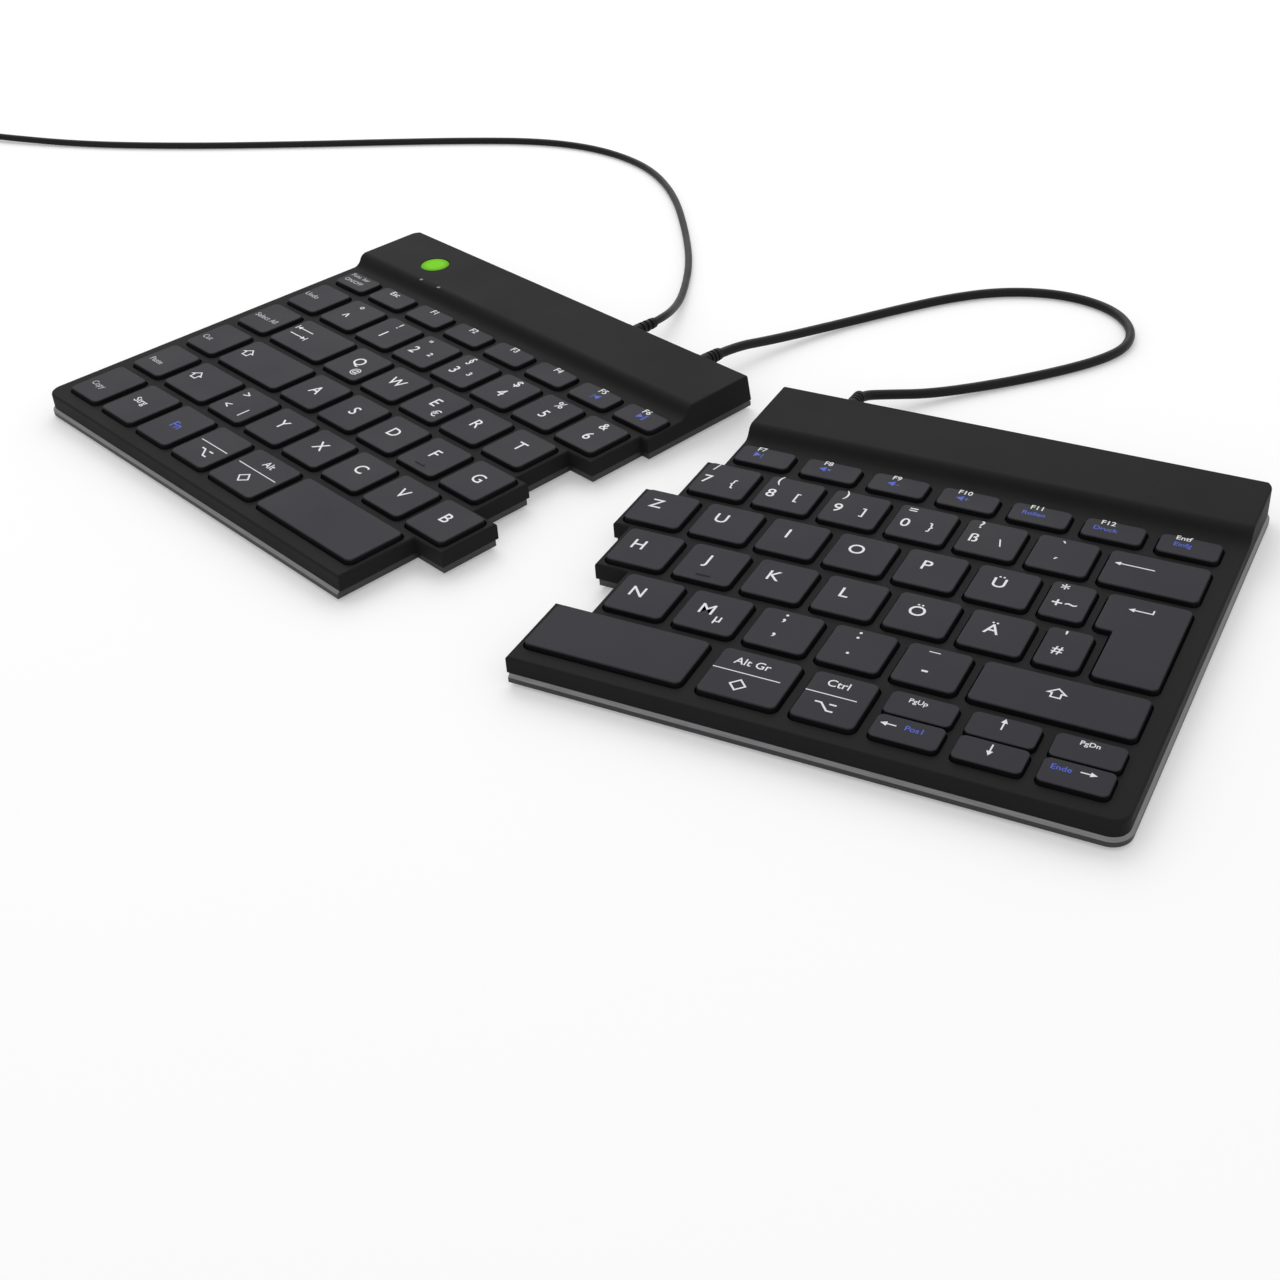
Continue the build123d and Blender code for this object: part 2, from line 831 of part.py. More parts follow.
def cord_tube(name, points, diameter):
    """Round tube along straight runs joined by tangent arcs."""
    with BuildPart() as tube:
        with BuildLine() as route:
            FilletPolyline(*points, radius=corner_radii(name, points))
        with BuildSketch(Plane(origin=points[0], z_dir=points[1] - points[0])):
            Circle(diameter / 2)
        sweep()
    length = sum(edge.length for edge in route.edges())
    expected = length * math.pi * diameter**2 / 4
    print(f"{name}: length {length:.1f}, volume over section {tube.part.volume / expected:.4f}")
    return tube.part


def link_points():
    """Route of the cable between the halves."""
    start = exit_points(left_half, link_relief_x_left, link_relief_length, link_exit_run)
    end = exit_points(right_half, link_relief_x_right, link_relief_length, link_exit_run)
    return start + [Vector(*point) for point in link_route] + end[::-1]


def lead_points():
    """Route of the lead from the left half to its coil."""
    start = exit_points(left_half, usb_relief_x, usb_relief_length, exit_run)
    return start + [Vector(*point) for point in lead_route]


def coil_plane():
    """Level plane at the coil's centre; its y follows the arriving lead."""
    before, end = lead_points()[-2:]
    arriving = (end - before).normalized()
    level = Plane(origin=end + arriving * lead_diameter, z_dir=(0, 0, 1), x_dir=(1, 0, 0))
    turned = Plane(origin=level.origin, x_dir=arriving.rotate(Axis.Z, -90), z_dir=(0, 0, 1))
    return Plane(
        origin=turned.from_local_coords((-coil_radius, 0, 0)),
        x_dir=turned.x_dir,
        z_dir=(0, 0, 1),
    )


def coil_reaches():
    """Where the coil's half turns cross its middle line, with their heights."""
    step = (lead_diameter + coil_gap) / 2
    inner = coil_radius - coil_half_turns_in * step
    reaches = [coil_radius - i * step for i in range(coil_half_turns_in + 1)]
    reaches.append(inner - step)
    reaches += [inner + i * step for i in range(1, coil_half_turns_out + 2)]
    rise = lead_diameter + coil_gap
    heights = [0 if i <= coil_half_turns_in else rise for i in range(len(reaches))]
    return [((-1) ** i * reach, height) for i, (reach, height) in enumerate(zip(reaches, heights))]


def coil_arcs():
    """Start, middle and end of each half turn, in the coil's own coordinates."""
    crossings = coil_reaches()
    arcs = []
    for (x0, z0), (x1, z1) in zip(crossings, crossings[1:]):
        radius = math.hypot(x1 - x0, z1 - z0) / 2
        side = 1 if x0 > x1 else -1
        arcs.append(((x0, 0, z0), ((x0 + x1) / 2, side * radius, (z0 + z1) / 2), (x1, 0, z1)))
    return arcs


def lead_coil():
    """The put-away length: two flat layers of half turns, wound in and out again."""
    place = coil_plane()
    arcs = coil_arcs()
    first, last = arcs[0][0], arcs[-1][2]
    start = (first[0], -lead_diameter, first[2])
    end = (last[0], coil_tail, last[2])
    with BuildPart() as coil:
        with BuildLine(place) as route:
            Line(start, first)
            for arc in arcs:
                ThreePointArc(*arc)
            Line(last, end)
        start_point = place.from_local_coords(start)
        with BuildSketch(Plane(origin=start_point, x_dir=place.x_dir, z_dir=place.y_dir)):
            RegularPolygon(lead_diameter / 2, side_count=coil_sides)
        sweep()
    length = sum(edge.length for edge in route.edges())
    print(f"usb_lead_coil: length {length:.1f}, least gap {coil_least_gap(arcs):.2f}")
    return coil.part


def coil_least_gap(arcs):
    """Least distance between the surfaces of two turns, measured on points."""
    points = []
    for (x0, y0, z0), (xm, ym, zm), (x1, y1, z1) in arcs:
        for i in range(arc_samples):
            angle = math.pi * i / arc_samples
            x = xm + (x0 - xm) * math.cos(angle)
            z = zm + (z0 - zm) * math.cos(angle)
            points.append((x, ym * math.sin(angle), z))
    apart = arc_samples * 3 // 2
    gaps = [
        math.dist(here, there)
        for i, here in enumerate(points)
        for there in points[i + apart :]
    ]
    return min(gaps) - lead_diameter


def cable_tie():
    """Flat strap round one side of the coil."""
    place = coil_plane()
    crossings = [abs(x) for x, z in coil_reaches()]
    inner = min(crossings) - lead_diameter / 2 - tie_clearance
    outer = max(crossings) + lead_diameter / 2 + tie_clearance
    height = 2 * lead_diameter + coil_gap + 2 * tie_clearance
    middle = (lead_diameter + coil_gap) / 2
    with BuildPart() as tie:
        centre = place.from_local_coords((0, -(inner + outer) / 2, middle))
        with BuildSketch(Plane(origin=centre, x_dir=place.y_dir, z_dir=place.x_dir)):
            thickness = 2 * tie_thickness
            radius = lead_diameter / 2 + tie_clearance
            RectangleRounded(outer - inner + thickness, height + thickness, radius + tie_thickness)
            RectangleRounded(outer - inner, height, radius, mode=Mode.SUBTRACT)
        extrude(amount=tie_width / 2, both=True)
    return tie.part


def plug_plane():
    """Plane at the coil's loose end, facing along the plug."""
    place = coil_plane()
    x, y, z = coil_arcs()[-1][2]
    origin = place.from_local_coords((x, coil_tail, z))
    return Plane(origin=origin, x_dir=place.x_dir, z_dir=place.y_dir)


def usb_plug():
    """Moulded grip with a neck for the lead and the contact tongue."""
    base = plug_plane()
    with BuildPart() as plug:
        with BuildSketch(base):
            Circle(plug_neck_diameter / 2)
        extrude(amount=plug_neck_length)
        with BuildSketch(base.offset(plug_neck_length)):
            RectangleRounded(plug_width, plug_height, plug_corner_radius)
        extrude(amount=plug_length - plug_neck_length)
        inner_width = shell_width - 2 * shell_wall
        inner_height = shell_height - 2 * shell_wall
        with BuildSketch(base.offset(plug_length - shell_seat)):
            Rectangle(shell_width, shell_height)
            Rectangle(inner_width, inner_height, mode=Mode.SUBTRACT)
        extrude(amount=shell_seat, mode=Mode.SUBTRACT)
        with BuildSketch(base.offset(plug_length)):
            with Locations((0, (inner_height - tongue_height) / 2)):
                Rectangle(inner_width, tongue_height)
        extrude(amount=shell_length - shell_seat - tongue_setback)
    return plug.part


def usb_plug_shell():
    """Open metal shell of the plug."""
    base = plug_plane()
    with BuildPart() as shell:
        with BuildSketch(base.offset(plug_length - shell_seat)):
            Rectangle(shell_width, shell_height)
            Rectangle(shell_width - 2 * shell_wall, shell_height - 2 * shell_wall,
                      mode=Mode.SUBTRACT)
        extrude(amount=shell_length)
        # Holes that the socket's springs catch in
        faces = Plane(origin=base.origin, x_dir=base.x_dir, z_dir=base.y_dir)
        reach = plug_length + shell_length - shell_seat - latch_hole_setback
        with BuildSketch(faces):
            with Locations((-latch_hole_spread / 2, -reach), (latch_hole_spread / 2, -reach)):
                Rectangle(latch_hole_width, latch_hole_width)
        extrude(amount=shell_height, both=True, mode=Mode.SUBTRACT)
    return shell.part


for half in halves:
    save(base_plate(half), f"{half.name}_base_plate")
    save(top_cover(half), f"{half.name}_top_cover")
    save(field_sheet(half, plate_top, sheet_thickness), f"{half.name}_key_support_sheet")
    save(field_sheet(half, sheet_top, membrane_thickness), f"{half.name}_membrane")
    save(rubber_domes(half), f"{half.name}_rubber_domes")
    save(circuit_board(half), f"{half.name}_circuit_board")
    for name, *sizes in relief_sizes(half):
        save(strain_relief(half, *sizes), name)
    for node, boxes in half.keys.items():
        save(key_caps(half, node, boxes), node)
save(rubber_feet(), "rubber_feet")
save(base_screws(), "base_screws")
save(indicator_lens(), "indicator_lens")
save(status_leds(), "status_leds")
save(cord_tube("link_cable", link_points(), link_diameter), "link_cable")
save(cord_tube("usb_lead", lead_points(), lead_diameter), "usb_lead")
save(lead_coil(), "usb_lead_coil")
save(cable_tie(), "cable_tie")
save(usb_plug(), "usb_plug")
save(usb_plug_shell(), "usb_plug_shell")
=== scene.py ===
"""Dresses the ergonomic split keyboard: finishes, key legends, cables, lights and camera.

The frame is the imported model. Each half has flat coordinates of its own, in millimetres: x
runs along the rows from the outer left key column, y runs away from the user from the front
row, and z stands on the desk. A HalfFrame turns them into the model's metres.
"""

import json
import logging
import math
from collections.abc import Callable, Iterable
from dataclasses import dataclass, field
from enum import Enum

import bmesh
import bpy
from mathutils import Matrix, Vector

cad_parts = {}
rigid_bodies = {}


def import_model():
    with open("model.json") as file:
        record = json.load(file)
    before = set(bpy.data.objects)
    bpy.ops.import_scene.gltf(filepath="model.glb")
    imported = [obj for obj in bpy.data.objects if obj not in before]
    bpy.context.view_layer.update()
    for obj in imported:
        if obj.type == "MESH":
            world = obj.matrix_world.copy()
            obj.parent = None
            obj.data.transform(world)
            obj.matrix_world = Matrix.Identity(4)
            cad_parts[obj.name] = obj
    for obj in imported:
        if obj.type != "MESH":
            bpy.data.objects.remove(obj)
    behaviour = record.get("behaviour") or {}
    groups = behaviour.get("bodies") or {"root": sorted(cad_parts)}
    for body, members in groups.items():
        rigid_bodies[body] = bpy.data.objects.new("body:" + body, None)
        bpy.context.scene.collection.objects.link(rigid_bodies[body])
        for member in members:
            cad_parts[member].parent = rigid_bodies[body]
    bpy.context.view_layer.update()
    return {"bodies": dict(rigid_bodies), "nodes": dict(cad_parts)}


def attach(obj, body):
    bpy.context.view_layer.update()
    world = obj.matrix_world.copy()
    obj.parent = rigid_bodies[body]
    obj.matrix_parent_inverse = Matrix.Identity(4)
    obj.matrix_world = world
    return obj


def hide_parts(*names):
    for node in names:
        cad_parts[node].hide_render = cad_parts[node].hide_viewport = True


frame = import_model()

log = logging.getLogger("split_keyboard")

MM = 0.001
Triple = tuple[float, float, float]
Colour = Triple
Outline = list[tuple[float, float]]
Piece = bpy.types.Object
Socket = bpy.types.NodeSocket

EVEN = (1.0, 1.0, 1.0)
ORIGIN = (0.0, 0.0, 0.0)
WHITE = (1.0, 1.0, 1.0, 1.0)

PITCH = 19.0
KEY_TOP = 9.3
BAR_TOP = 11.7
BACK_EDGE = 128.4
RELIEF_HEIGHT = 6.6
NEAR_AXIS = 0.05


# Node building


def fill(node: bpy.types.Node, values: dict[str | int, object]) -> bpy.types.Node:
    """Sets a node's inputs.

    Args:
        node: The node.
        values: Value of each input that is set.

    Returns:
        The same node.
    """
    for name, value in values.items():
        node.inputs[name].default_value = value
    return node


class NodeSheet:
    """The node tree of a material or sky, with short ways to grow it from its shader."""

    def __init__(self, owner: bpy.types.Material | bpy.types.World,
                 shader: str = "Principled BSDF") -> None:
        """Lets the owner use nodes and finds its shader.

        Args:
            owner: The material or sky.
            shader: The shader node's name.
        """
        owner.use_nodes = True
        self.tree = owner.node_tree
        self.shader = self.tree.nodes[shader]

    def add(self, kind: str, **settings: object) -> bpy.types.Node:
        """Adds a node.

        Args:
            kind: The node's type name, without the ShaderNode prefix.
            **settings: Properties of the node.

        Returns:
            The new node.
        """
        node = self.tree.nodes.new("ShaderNode" + kind)
        for name, value in settings.items():
            setattr(node, name, value)
        return node

    def link(self, output: Socket, target: Socket) -> None:
        """Joins an output to an input."""
        self.tree.links.new(output, target)

    def position(self, stretch: Triple = EVEN, centre: Triple = ORIGIN) -> Socket:
        """Reads the object coordinates.

        Args:
            stretch: Scale of the pattern along each axis.
            centre: Point in metres that becomes the pattern's middle.

        Returns:
            The mapped vector.
        """
        coordinates = self.add("TexCoord")
        mapping = fill(self.add("Mapping", vector_type="TEXTURE"),
                       {"Location": centre, "Scale": tuple(1 / value for value in stretch)})
        self.link(coordinates.outputs["Object"], mapping.inputs["Vector"])
        return mapping.outputs["Vector"]

    def noise(self, grain: float, detail: float = 2.0, stretch: Triple = EVEN) -> Socket:
        """Adds a noise of a real grain size.

        Args:
            grain: Size of its blobs in millimetres.
            detail: Octaves of finer noise.
            stretch: Scale along each axis.

        Returns:
            Its factor, from 0 to 1.
        """
        texture = fill(self.add("TexNoise"), {"Scale": 1 / (grain * MM), "Detail": detail})
        self.link(self.position(stretch), texture.inputs["Vector"])
        return texture.outputs["Fac"]

    def spread(self, factor: Socket, low: float, high: float, start: float = 0.3,
               end: float = 0.7) -> Socket:
        """Maps a factor's middle range to two values.

        Args:
            factor: What drives it.
            low: Result at the start of the range.
            high: Result at its end.
            start: Factor that gives the low value.
            end: Factor that gives the high value.

        Returns:
            The mapped value.
        """
        node = fill(self.add("MapRange"), {"From Min": start, "From Max": end, "To Min": low,
                                           "To Max": high})
        self.link(factor, node.inputs["Value"])
        return node.outputs["Result"]

    def blend(self, factor: Socket, first: Colour, second: Colour) -> Socket:
        """Mixes two colours.

        Args:
            factor: Share of the second colour.
            first: Colour at 0.
            second: Colour at 1.

        Returns:
            The mixed colour.
        """
        node = fill(self.add("Mix", data_type="RGBA"), {6: (*first, 1.0), 7: (*second, 1.0)})
        self.link(factor, node.inputs[0])
        return node.outputs[2]

    def bump(self, height: Socket, depth: float, strength: float = 0.5) -> None:
        """Bends the shader's normal by a height.

        Args:
            height: Height from 0 to 1.
            depth: Real depth in millimetres.
            strength: Share of the effect.
        """
        node = fill(self.add("Bump"), {"Strength": strength, "Distance": depth * MM})
        self.link(height, node.inputs["Height"])
        self.link(node.outputs["Normal"], self.shader.inputs["Normal"])


# Finishes


@dataclass(frozen=True)
class Finish:
    """What every finish has: a name, a colour, a roughness and a reflection level."""

    name: str
    colour: Colour
    roughness: float
    specular: float = 0.5

    def material(self) -> bpy.types.Material:
        """Makes the finish's material on its first use.

        Returns:
            The one material of this finish.
        """
        title = self.name + "_finish"
        known = bpy.data.materials.get(title)
        if known is not None:
            return known
        material = bpy.data.materials.new(title)
        sheet = NodeSheet(material)
        fill(sheet.shader, {"Base Color": (*self.colour, 1.0), "Roughness": self.roughness,
                            "Specular IOR Level": self.specular})
        self.grow(sheet)
        return material

    def shade(self, amount: float) -> Colour:
        """The finish's colour, darker below 1 and lighter above."""
        return tuple(min(1.0, channel * amount) for channel in self.colour)

    def mottle(self, sheet: NodeSheet, pattern: Socket, dark: float, light: float) -> None:
        """Varies the colour from a darker to a lighter shade by a pattern."""
        mixed = sheet.blend(sheet.spread(pattern, 0.0, 1.0), self.shade(dark), self.shade(light))
        sheet.link(mixed, sheet.shader.inputs["Base Color"])

    def uneven_gloss(self, sheet: NodeSheet, pattern: Socket, less: float, more: float) -> None:
        """Varies the roughness about its own value by a pattern."""
        gloss = sheet.spread(pattern, self.roughness - less, self.roughness + more)
        sheet.link(gloss, sheet.shader.inputs["Roughness"])

    def grow(self, sheet: NodeSheet) -> None:
        """Adds the finish's own pattern; each kind of finish has one."""
        raise NotImplementedError(self.name)


@dataclass(frozen=True)
class MouldedPlastic(Finish):
    """Moulded plastic with a fine spark-eroded grain."""

    grain: float = 0.25
    depth: float = 0.02

    def grow(self, sheet: NodeSheet) -> None:
        """Adds grain, slight mottling and uneven gloss.

        Args:
            sheet: The material's nodes.
        """
        cloud = sheet.noise(grain=22.0, detail=4.0)
        self.mottle(sheet, cloud, 0.93, 1.07)
        self.uneven_gloss(sheet, cloud, 0.05, 0.05)
        sheet.bump(sheet.noise(self.grain), self.depth)


@dataclass(frozen=True)
class BrushedMetal(Finish):
    """Bare metal with fine lines along one direction."""

    stretch: Triple = (1.0, 1.0, 40.0)

    def grow(self, sheet: NodeSheet) -> None:
        """Adds lines to the colour, the gloss and the surface.

        Args:
            sheet: The material's nodes.
        """
        fill(sheet.shader, {"Metallic": 1.0})
        lines = sheet.noise(grain=6.0, detail=5.0, stretch=self.stretch)
        self.mottle(sheet, lines, 0.8, 1.2)
        self.uneven_gloss(sheet, lines, 0.08, 0.1)
        sheet.bump(lines, depth=0.02, strength=0.3)


@dataclass(frozen=True)
class CableJacket(Finish):
    """Extruded jacket: satin, with a fine skin and patches of gloss."""

    def grow(self, sheet: NodeSheet) -> None:
        """Adds the patches and the skin.

        Args:
            sheet: The material's nodes.
        """
        patch = sheet.noise(grain=7.0, detail=3.0)
        self.uneven_gloss(sheet, patch, 0.07, 0.07)
        self.mottle(sheet, patch, 0.85, 1.15)
        sheet.bump(sheet.noise(grain=0.5), depth=0.03, strength=0.4)


@dataclass(frozen=True)
class WovenStrap(Finish):
    """Hook-and-loop strap: a fine square weave with fuzz."""

    wave_scale: float = 100.0
    distortion: float = 1.5

    def grow(self, sheet: NodeSheet) -> None:
        """Crosses two wave patterns and adds a sheen.

        Args:
            sheet: The material's nodes.
        """
        threads = []
        for direction in ("X", "Y"):
            wave = fill(sheet.add("TexWave", bands_direction=direction),
                        {"Scale": self.wave_scale, "Distortion": self.distortion})
            sheet.link(sheet.position(), wave.inputs["Vector"])
            threads.append(wave.outputs["Fac"])
        weave = sheet.add("Math", operation="MULTIPLY")
        for output, target in zip(threads, weave.inputs):
            sheet.link(output, target)
        base = sheet.blend(weave.outputs[0], self.shade(0.5), self.shade(1.5))
        sheet.link(base, sheet.shader.inputs["Base Color"])
        fill(sheet.shader, {"Sheen Weight": 0.3})
        sheet.bump(weave.outputs[0], depth=0.15, strength=0.8)


@dataclass(frozen=True)
class PrintedSheet(Finish):
    """Circuit board or membrane with fine printed tracks."""

    track: Colour = (0.3, 0.3, 0.3)
    cell: float = 4.0

    def grow(self, sheet: NodeSheet) -> None:
        """Draws tracks along the borders of cells.

        Args:
            sheet: The material's nodes.
        """
        cells = fill(sheet.add("TexVoronoi", feature="DISTANCE_TO_EDGE", distance="MANHATTAN"),
                     {"Scale": 1 / (self.cell * MM)})
        sheet.link(sheet.position(), cells.inputs["Vector"])
        line = sheet.spread(cells.outputs["Distance"], 1.0, 0.0, start=0.03, end=0.06)
        sheet.link(sheet.blend(line, self.colour, self.track), sheet.shader.inputs["Base Color"])
        sheet.bump(line, depth=0.03)


@dataclass(frozen=True)
class PrintedInk(Finish):
    """Pad-printed ink with slightly uneven cover and gloss."""

    def grow(self, sheet: NodeSheet) -> None:
        """Adds the ink's uneven cover.

        Args:
            sheet: The material's nodes.
        """
        cover = sheet.noise(grain=0.3)
        self.mottle(sheet, cover, 0.88, 1.0)
        self.uneven_gloss(sheet, cover, 0.05, 0.05)


@dataclass(frozen=True)
class LitLens(Finish):
    """Lens lit from behind, brightest in its middle."""

    centre: Triple = ORIGIN
    reach: float = 4.7
    strength: float = 1.0

    def grow(self, sheet: NodeSheet) -> None:
        """Adds a round glow about the lens's centre.

        Args:
            sheet: The material's nodes.
        """
        size = 1 / (self.reach * MM)
        glow = sheet.add("TexGradient", gradient_type="SPHERICAL")
        sheet.link(sheet.position((size, size, size), self.centre), glow.inputs["Vector"])
        level = sheet.spread(glow.outputs["Fac"], 0.0, 1.0, start=0.0, end=0.45)
        light = sheet.blend(level, self.shade(0.55), self.shade(1.0))
        sheet.link(light, sheet.shader.inputs["Emission Color"])
        fill(sheet.shader, {"Base Color": (*self.shade(0.1), 1.0),
                            "Emission Strength": self.strength})
        sheet.bump(sheet.noise(grain=0.6), depth=0.02, strength=0.3)


CASING = MouldedPlastic("casing_plastic", (0.0165, 0.0158, 0.0163), 0.55, 0.04, 0.22, 0.025)
KEY_TOPS = MouldedPlastic("key_top_plastic", (0.025, 0.0243, 0.0305), 0.5, 0.1, 0.16, 0.012)
# Key skirts: the caps' plastic painted near black as shade on the caps' sides.
KEY_SKIRTS_PAINTED_SHADE = MouldedPlastic("key_skirt_painted_shade", (0.004, 0.004, 0.004), 0.6, 0.1, 0.2, 0.02)
PLATE_TOP = BrushedMetal("plate_bright_steel", (0.19, 0.185, 0.19), 0.42)
# Plate sides: the plate's steel painted darker as shade, chosen by the faces' direction.
PLATE_EDGE_PAINTED_SHADE = BrushedMetal("plate_edge_painted_shade", (0.07, 0.066, 0.07), 0.5)
PLATE_UNDER = BrushedMetal("plate_underside", (0.30, 0.30, 0.31), 0.45, 0.5, (1.0, 40.0, 1.0))
SHEET_METAL = BrushedMetal("sheet_metal", (0.18, 0.18, 0.19), 0.5, 0.5, (1.0, 40.0, 1.0))
# Membrane: partly its own dark film, partly painted shade, near black so the gaps between keys
# read dark.
MEMBRANE_WITH_PAINTED_SHADE = PrintedSheet("membrane_film", (0.012, 0.012, 0.012), 0.5, 0.2, (0.05, 0.05, 0.05), 5.0)
DOME_RUBBER = MouldedPlastic("dome_rubber", (0.05, 0.05, 0.05), 0.6, 0.3)
BOARD = PrintedSheet("circuit_board", (0.012, 0.12, 0.04), 0.35, 0.5, (0.10, 0.32, 0.12), 3.0)
JACKET = CableJacket("cable_jacket", (0.006, 0.006, 0.006), 0.42, 0.16)
RELIEF_RUBBER = MouldedPlastic("relief_rubber", (0.007, 0.007, 0.007), 0.5, 0.15, 0.3)
FOOT_RUBBER = MouldedPlastic("foot_rubber", (0.018, 0.018, 0.018), 0.75, 0.3, 0.4, 0.05)
SCREW_METAL = BrushedMetal("screw_metal", (0.45, 0.45, 0.46), 0.35, 0.5, (1.0, 1.0, 8.0))
STRAP = WovenStrap("strap_fabric", (0.02, 0.02, 0.02), 0.9, 0.2)
PLUG_PLASTIC = MouldedPlastic("plug_overmould", (0.014, 0.014, 0.014), 0.5, 0.4, 0.3, 0.03)
PLUG_METAL = BrushedMetal("plug_shell_metal", (0.7, 0.7, 0.7), 0.22, 0.5, (1.0, 1.0, 8.0))
LED_PLASTIC = MouldedPlastic("led_pin", (0.08, 0.085, 0.085), 0.3, 0.5, 0.3, 0.01)
WHITE_INK = PrintedInk("white_print", (0.80, 0.81, 0.82), 0.5, 0.3)
GREY_INK = PrintedInk("grey_print", (0.45, 0.45, 0.47), 0.5, 0.3)
BLUE_INK = PrintedInk("blue_print", (0.055, 0.10, 0.55), 0.5, 0.3)


class Ink(Enum):
    """The inks that the key legends are printed in."""

    WHITE = WHITE_INK
    GREY = GREY_INK
    BLUE = BLUE_INK


# Working with Blender's tools


def add_object(name: str, data: bpy.types.ID) -> Piece:
    """Puts a mesh, curve, camera or lamp into the scene.

    Args:
        name: Name of the object.
        data: What it shows.

    Returns:
        The new object.
    """
    added = bpy.data.objects.new(name, data)
    bpy.context.scene.collection.objects.link(added)
    return added


def pick(*pieces: Piece) -> Piece:
    """Selects only these objects and makes the first one active.

    Args:
        *pieces: Objects to select.

    Returns:
        The active object.
    """
    if bpy.context.object is not None and bpy.context.object.mode != "OBJECT":
        bpy.ops.object.mode_set(mode="OBJECT")
    bpy.ops.object.select_all(action="DESELECT")
    for piece in pieces:
        piece.select_set(True)
    bpy.context.view_layer.objects.active = pieces[0]
    return pieces[0]


def apply_modifier(piece: Piece, kind: str, **settings: object) -> None:
    """Adds a modifier and applies it.

    Args:
        piece: The object to change.
        kind: The modifier's type.
        **settings: Its properties.
    """
    pick(piece)
    modifier = piece.modifiers.new(kind.title(), kind)
    for name, value in settings.items():
        setattr(modifier, name, value)
    bpy.ops.object.modifier_apply(modifier=modifier.name)


def soften(piece: Piece, edge: float, segments: int, sharp: float, **settings: object) -> None:
    """Bevels edges sharper than an angle in degrees, as wide as an edge in millimetres."""
    apply_modifier(piece, "BEVEL", width=edge * MM, segments=segments, limit_method="ANGLE",
                   angle_limit=math.radians(sharp), **settings)


def smooth(piece: Piece, degrees: float = 35.0) -> None:
    """Shades a piece smooth but for its sharp edges, and keeps its flat faces flat.

    Args:
        piece: The object to shade.
        degrees: Angle between faces from which an edge stays sharp.
    """
    pick(piece)
    bpy.ops.object.shade_smooth_by_angle(angle=math.radians(degrees))
    apply_modifier(piece, "WEIGHTED_NORMAL", keep_sharp=True, weight=100)


def join(pieces: list[Piece], name: str) -> Piece:
    """Joins objects into the first one.

    Args:
        pieces: Objects to join.
        name: Name of the result.

    Returns:
        The joined object.
    """
    joined = pick(*pieces)
    if len(pieces) > 1:
        bpy.ops.object.join()
    joined.name = name
    return joined


def copy_of(node: str, name: str, flatten: bool = True) -> Piece:
    """Copies a CAD node's mesh into a new piece, merged and without split normals.

    Args:
        node: The CAD node.
        name: Name of the new piece.
        flatten: Whether triangles in one plane become one face.

    Returns:
        The new piece.
    """
    piece = pick(add_object(name, frame["nodes"][node].data.copy()))
    bpy.ops.mesh.customdata_custom_splitnormals_clear()
    bpy.ops.object.mode_set(mode="EDIT")
    bpy.ops.mesh.select_all(action="SELECT")
    bpy.ops.mesh.remove_doubles(threshold=0.002 * MM)
    if flatten:
        bpy.ops.mesh.dissolve_limited(angle_limit=math.radians(0.6))
    bpy.ops.object.mode_set(mode="OBJECT")
    piece.data.materials.clear()
    return piece


def select_edges(piece: Piece, wanted: Callable[[bmesh.types.BMEdge], bool]) -> None:
    """Goes into edit mode and selects the edges that pass a test.

    Args:
        piece: The object to edit.
        wanted: Test of an edge.
    """
    pick(piece)
    bpy.ops.object.mode_set(mode="EDIT")
    bpy.ops.mesh.select_mode(type="EDGE")
    bpy.ops.mesh.select_all(action="DESELECT")
    mesh = bmesh.from_edit_mesh(piece.data)
    for edge in mesh.edges:
        if wanted(edge):
            edge.select_set(True)
    mesh.select_flush(True)
    bmesh.update_edit_mesh(piece.data)


def dress(piece: Piece, finishes: list[Finish],
          choose: Callable[[bpy.types.MeshPolygon], int] | None = None) -> None:
    """Gives a piece its finishes.

    Args:
        piece: The object to dress.
        finishes: Its finishes, in slot order.
        choose: Slot of a face; without it all faces take the first.
    """
    piece.data.materials.clear()
    for finish in finishes:
        piece.data.materials.append(finish.material())
    if choose is not None:
        for polygon in piece.data.polygons:
            polygon.material_index = choose(polygon)


def place(piece: Piece, body: str, slot: str, *nodes: str) -> Piece:
    """Fixes a finished piece to its body and hides the CAD nodes that it stands for.

    Args:
        piece: The finished object.
        body: CAD body that it rides on.
        slot: The record's material slot; not used.
        *nodes: CAD nodes that it stands for.

    Returns:
        The piece.
    """
    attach(piece, body)
    if nodes:
        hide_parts(*nodes)
    log.info("%s rides on %s", piece.name, body)
    return piece


def lathe(name: str, profile: Outline, base: Vector, axis: Vector) -> Piece:
    """Turns a profile round an axis.

    Args:
        name: Name of the piece.
        profile: Radius and distance along the axis of each point, in millimetres.
        base: Start of the axis in metres.
        axis: Its direction.

    Returns:
        The closed turned piece.
    """
    bpy.ops.object.select_all(action="DESELECT")
    bpy.ops.mesh.primitive_circle_add(vertices=28, radius=profile[0][0] * MM, fill_type="NGON")
    piece = bpy.context.object
    piece.name = name
    bpy.ops.object.mode_set(mode="EDIT")
    bpy.ops.mesh.select_mode(type="FACE")
    bpy.ops.mesh.select_all(action="SELECT")
    for (radius, height), (wider, higher) in zip(profile, profile[1:]):
        bpy.ops.mesh.extrude_region_move(
            TRANSFORM_OT_translate={"value": (0.0, 0.0, (higher - height) * MM)}
        )
        share = wider / radius
        bpy.ops.transform.resize(value=(share, share, 1.0))
    bpy.ops.mesh.select_all(action="SELECT")
    bpy.ops.mesh.normals_make_consistent(inside=False)
    bpy.ops.object.mode_set(mode="OBJECT")
    turn = axis.to_track_quat("Z", "Y").to_matrix().to_4x4()
    piece.data.transform(Matrix.Translation(base) @ turn)
    return piece


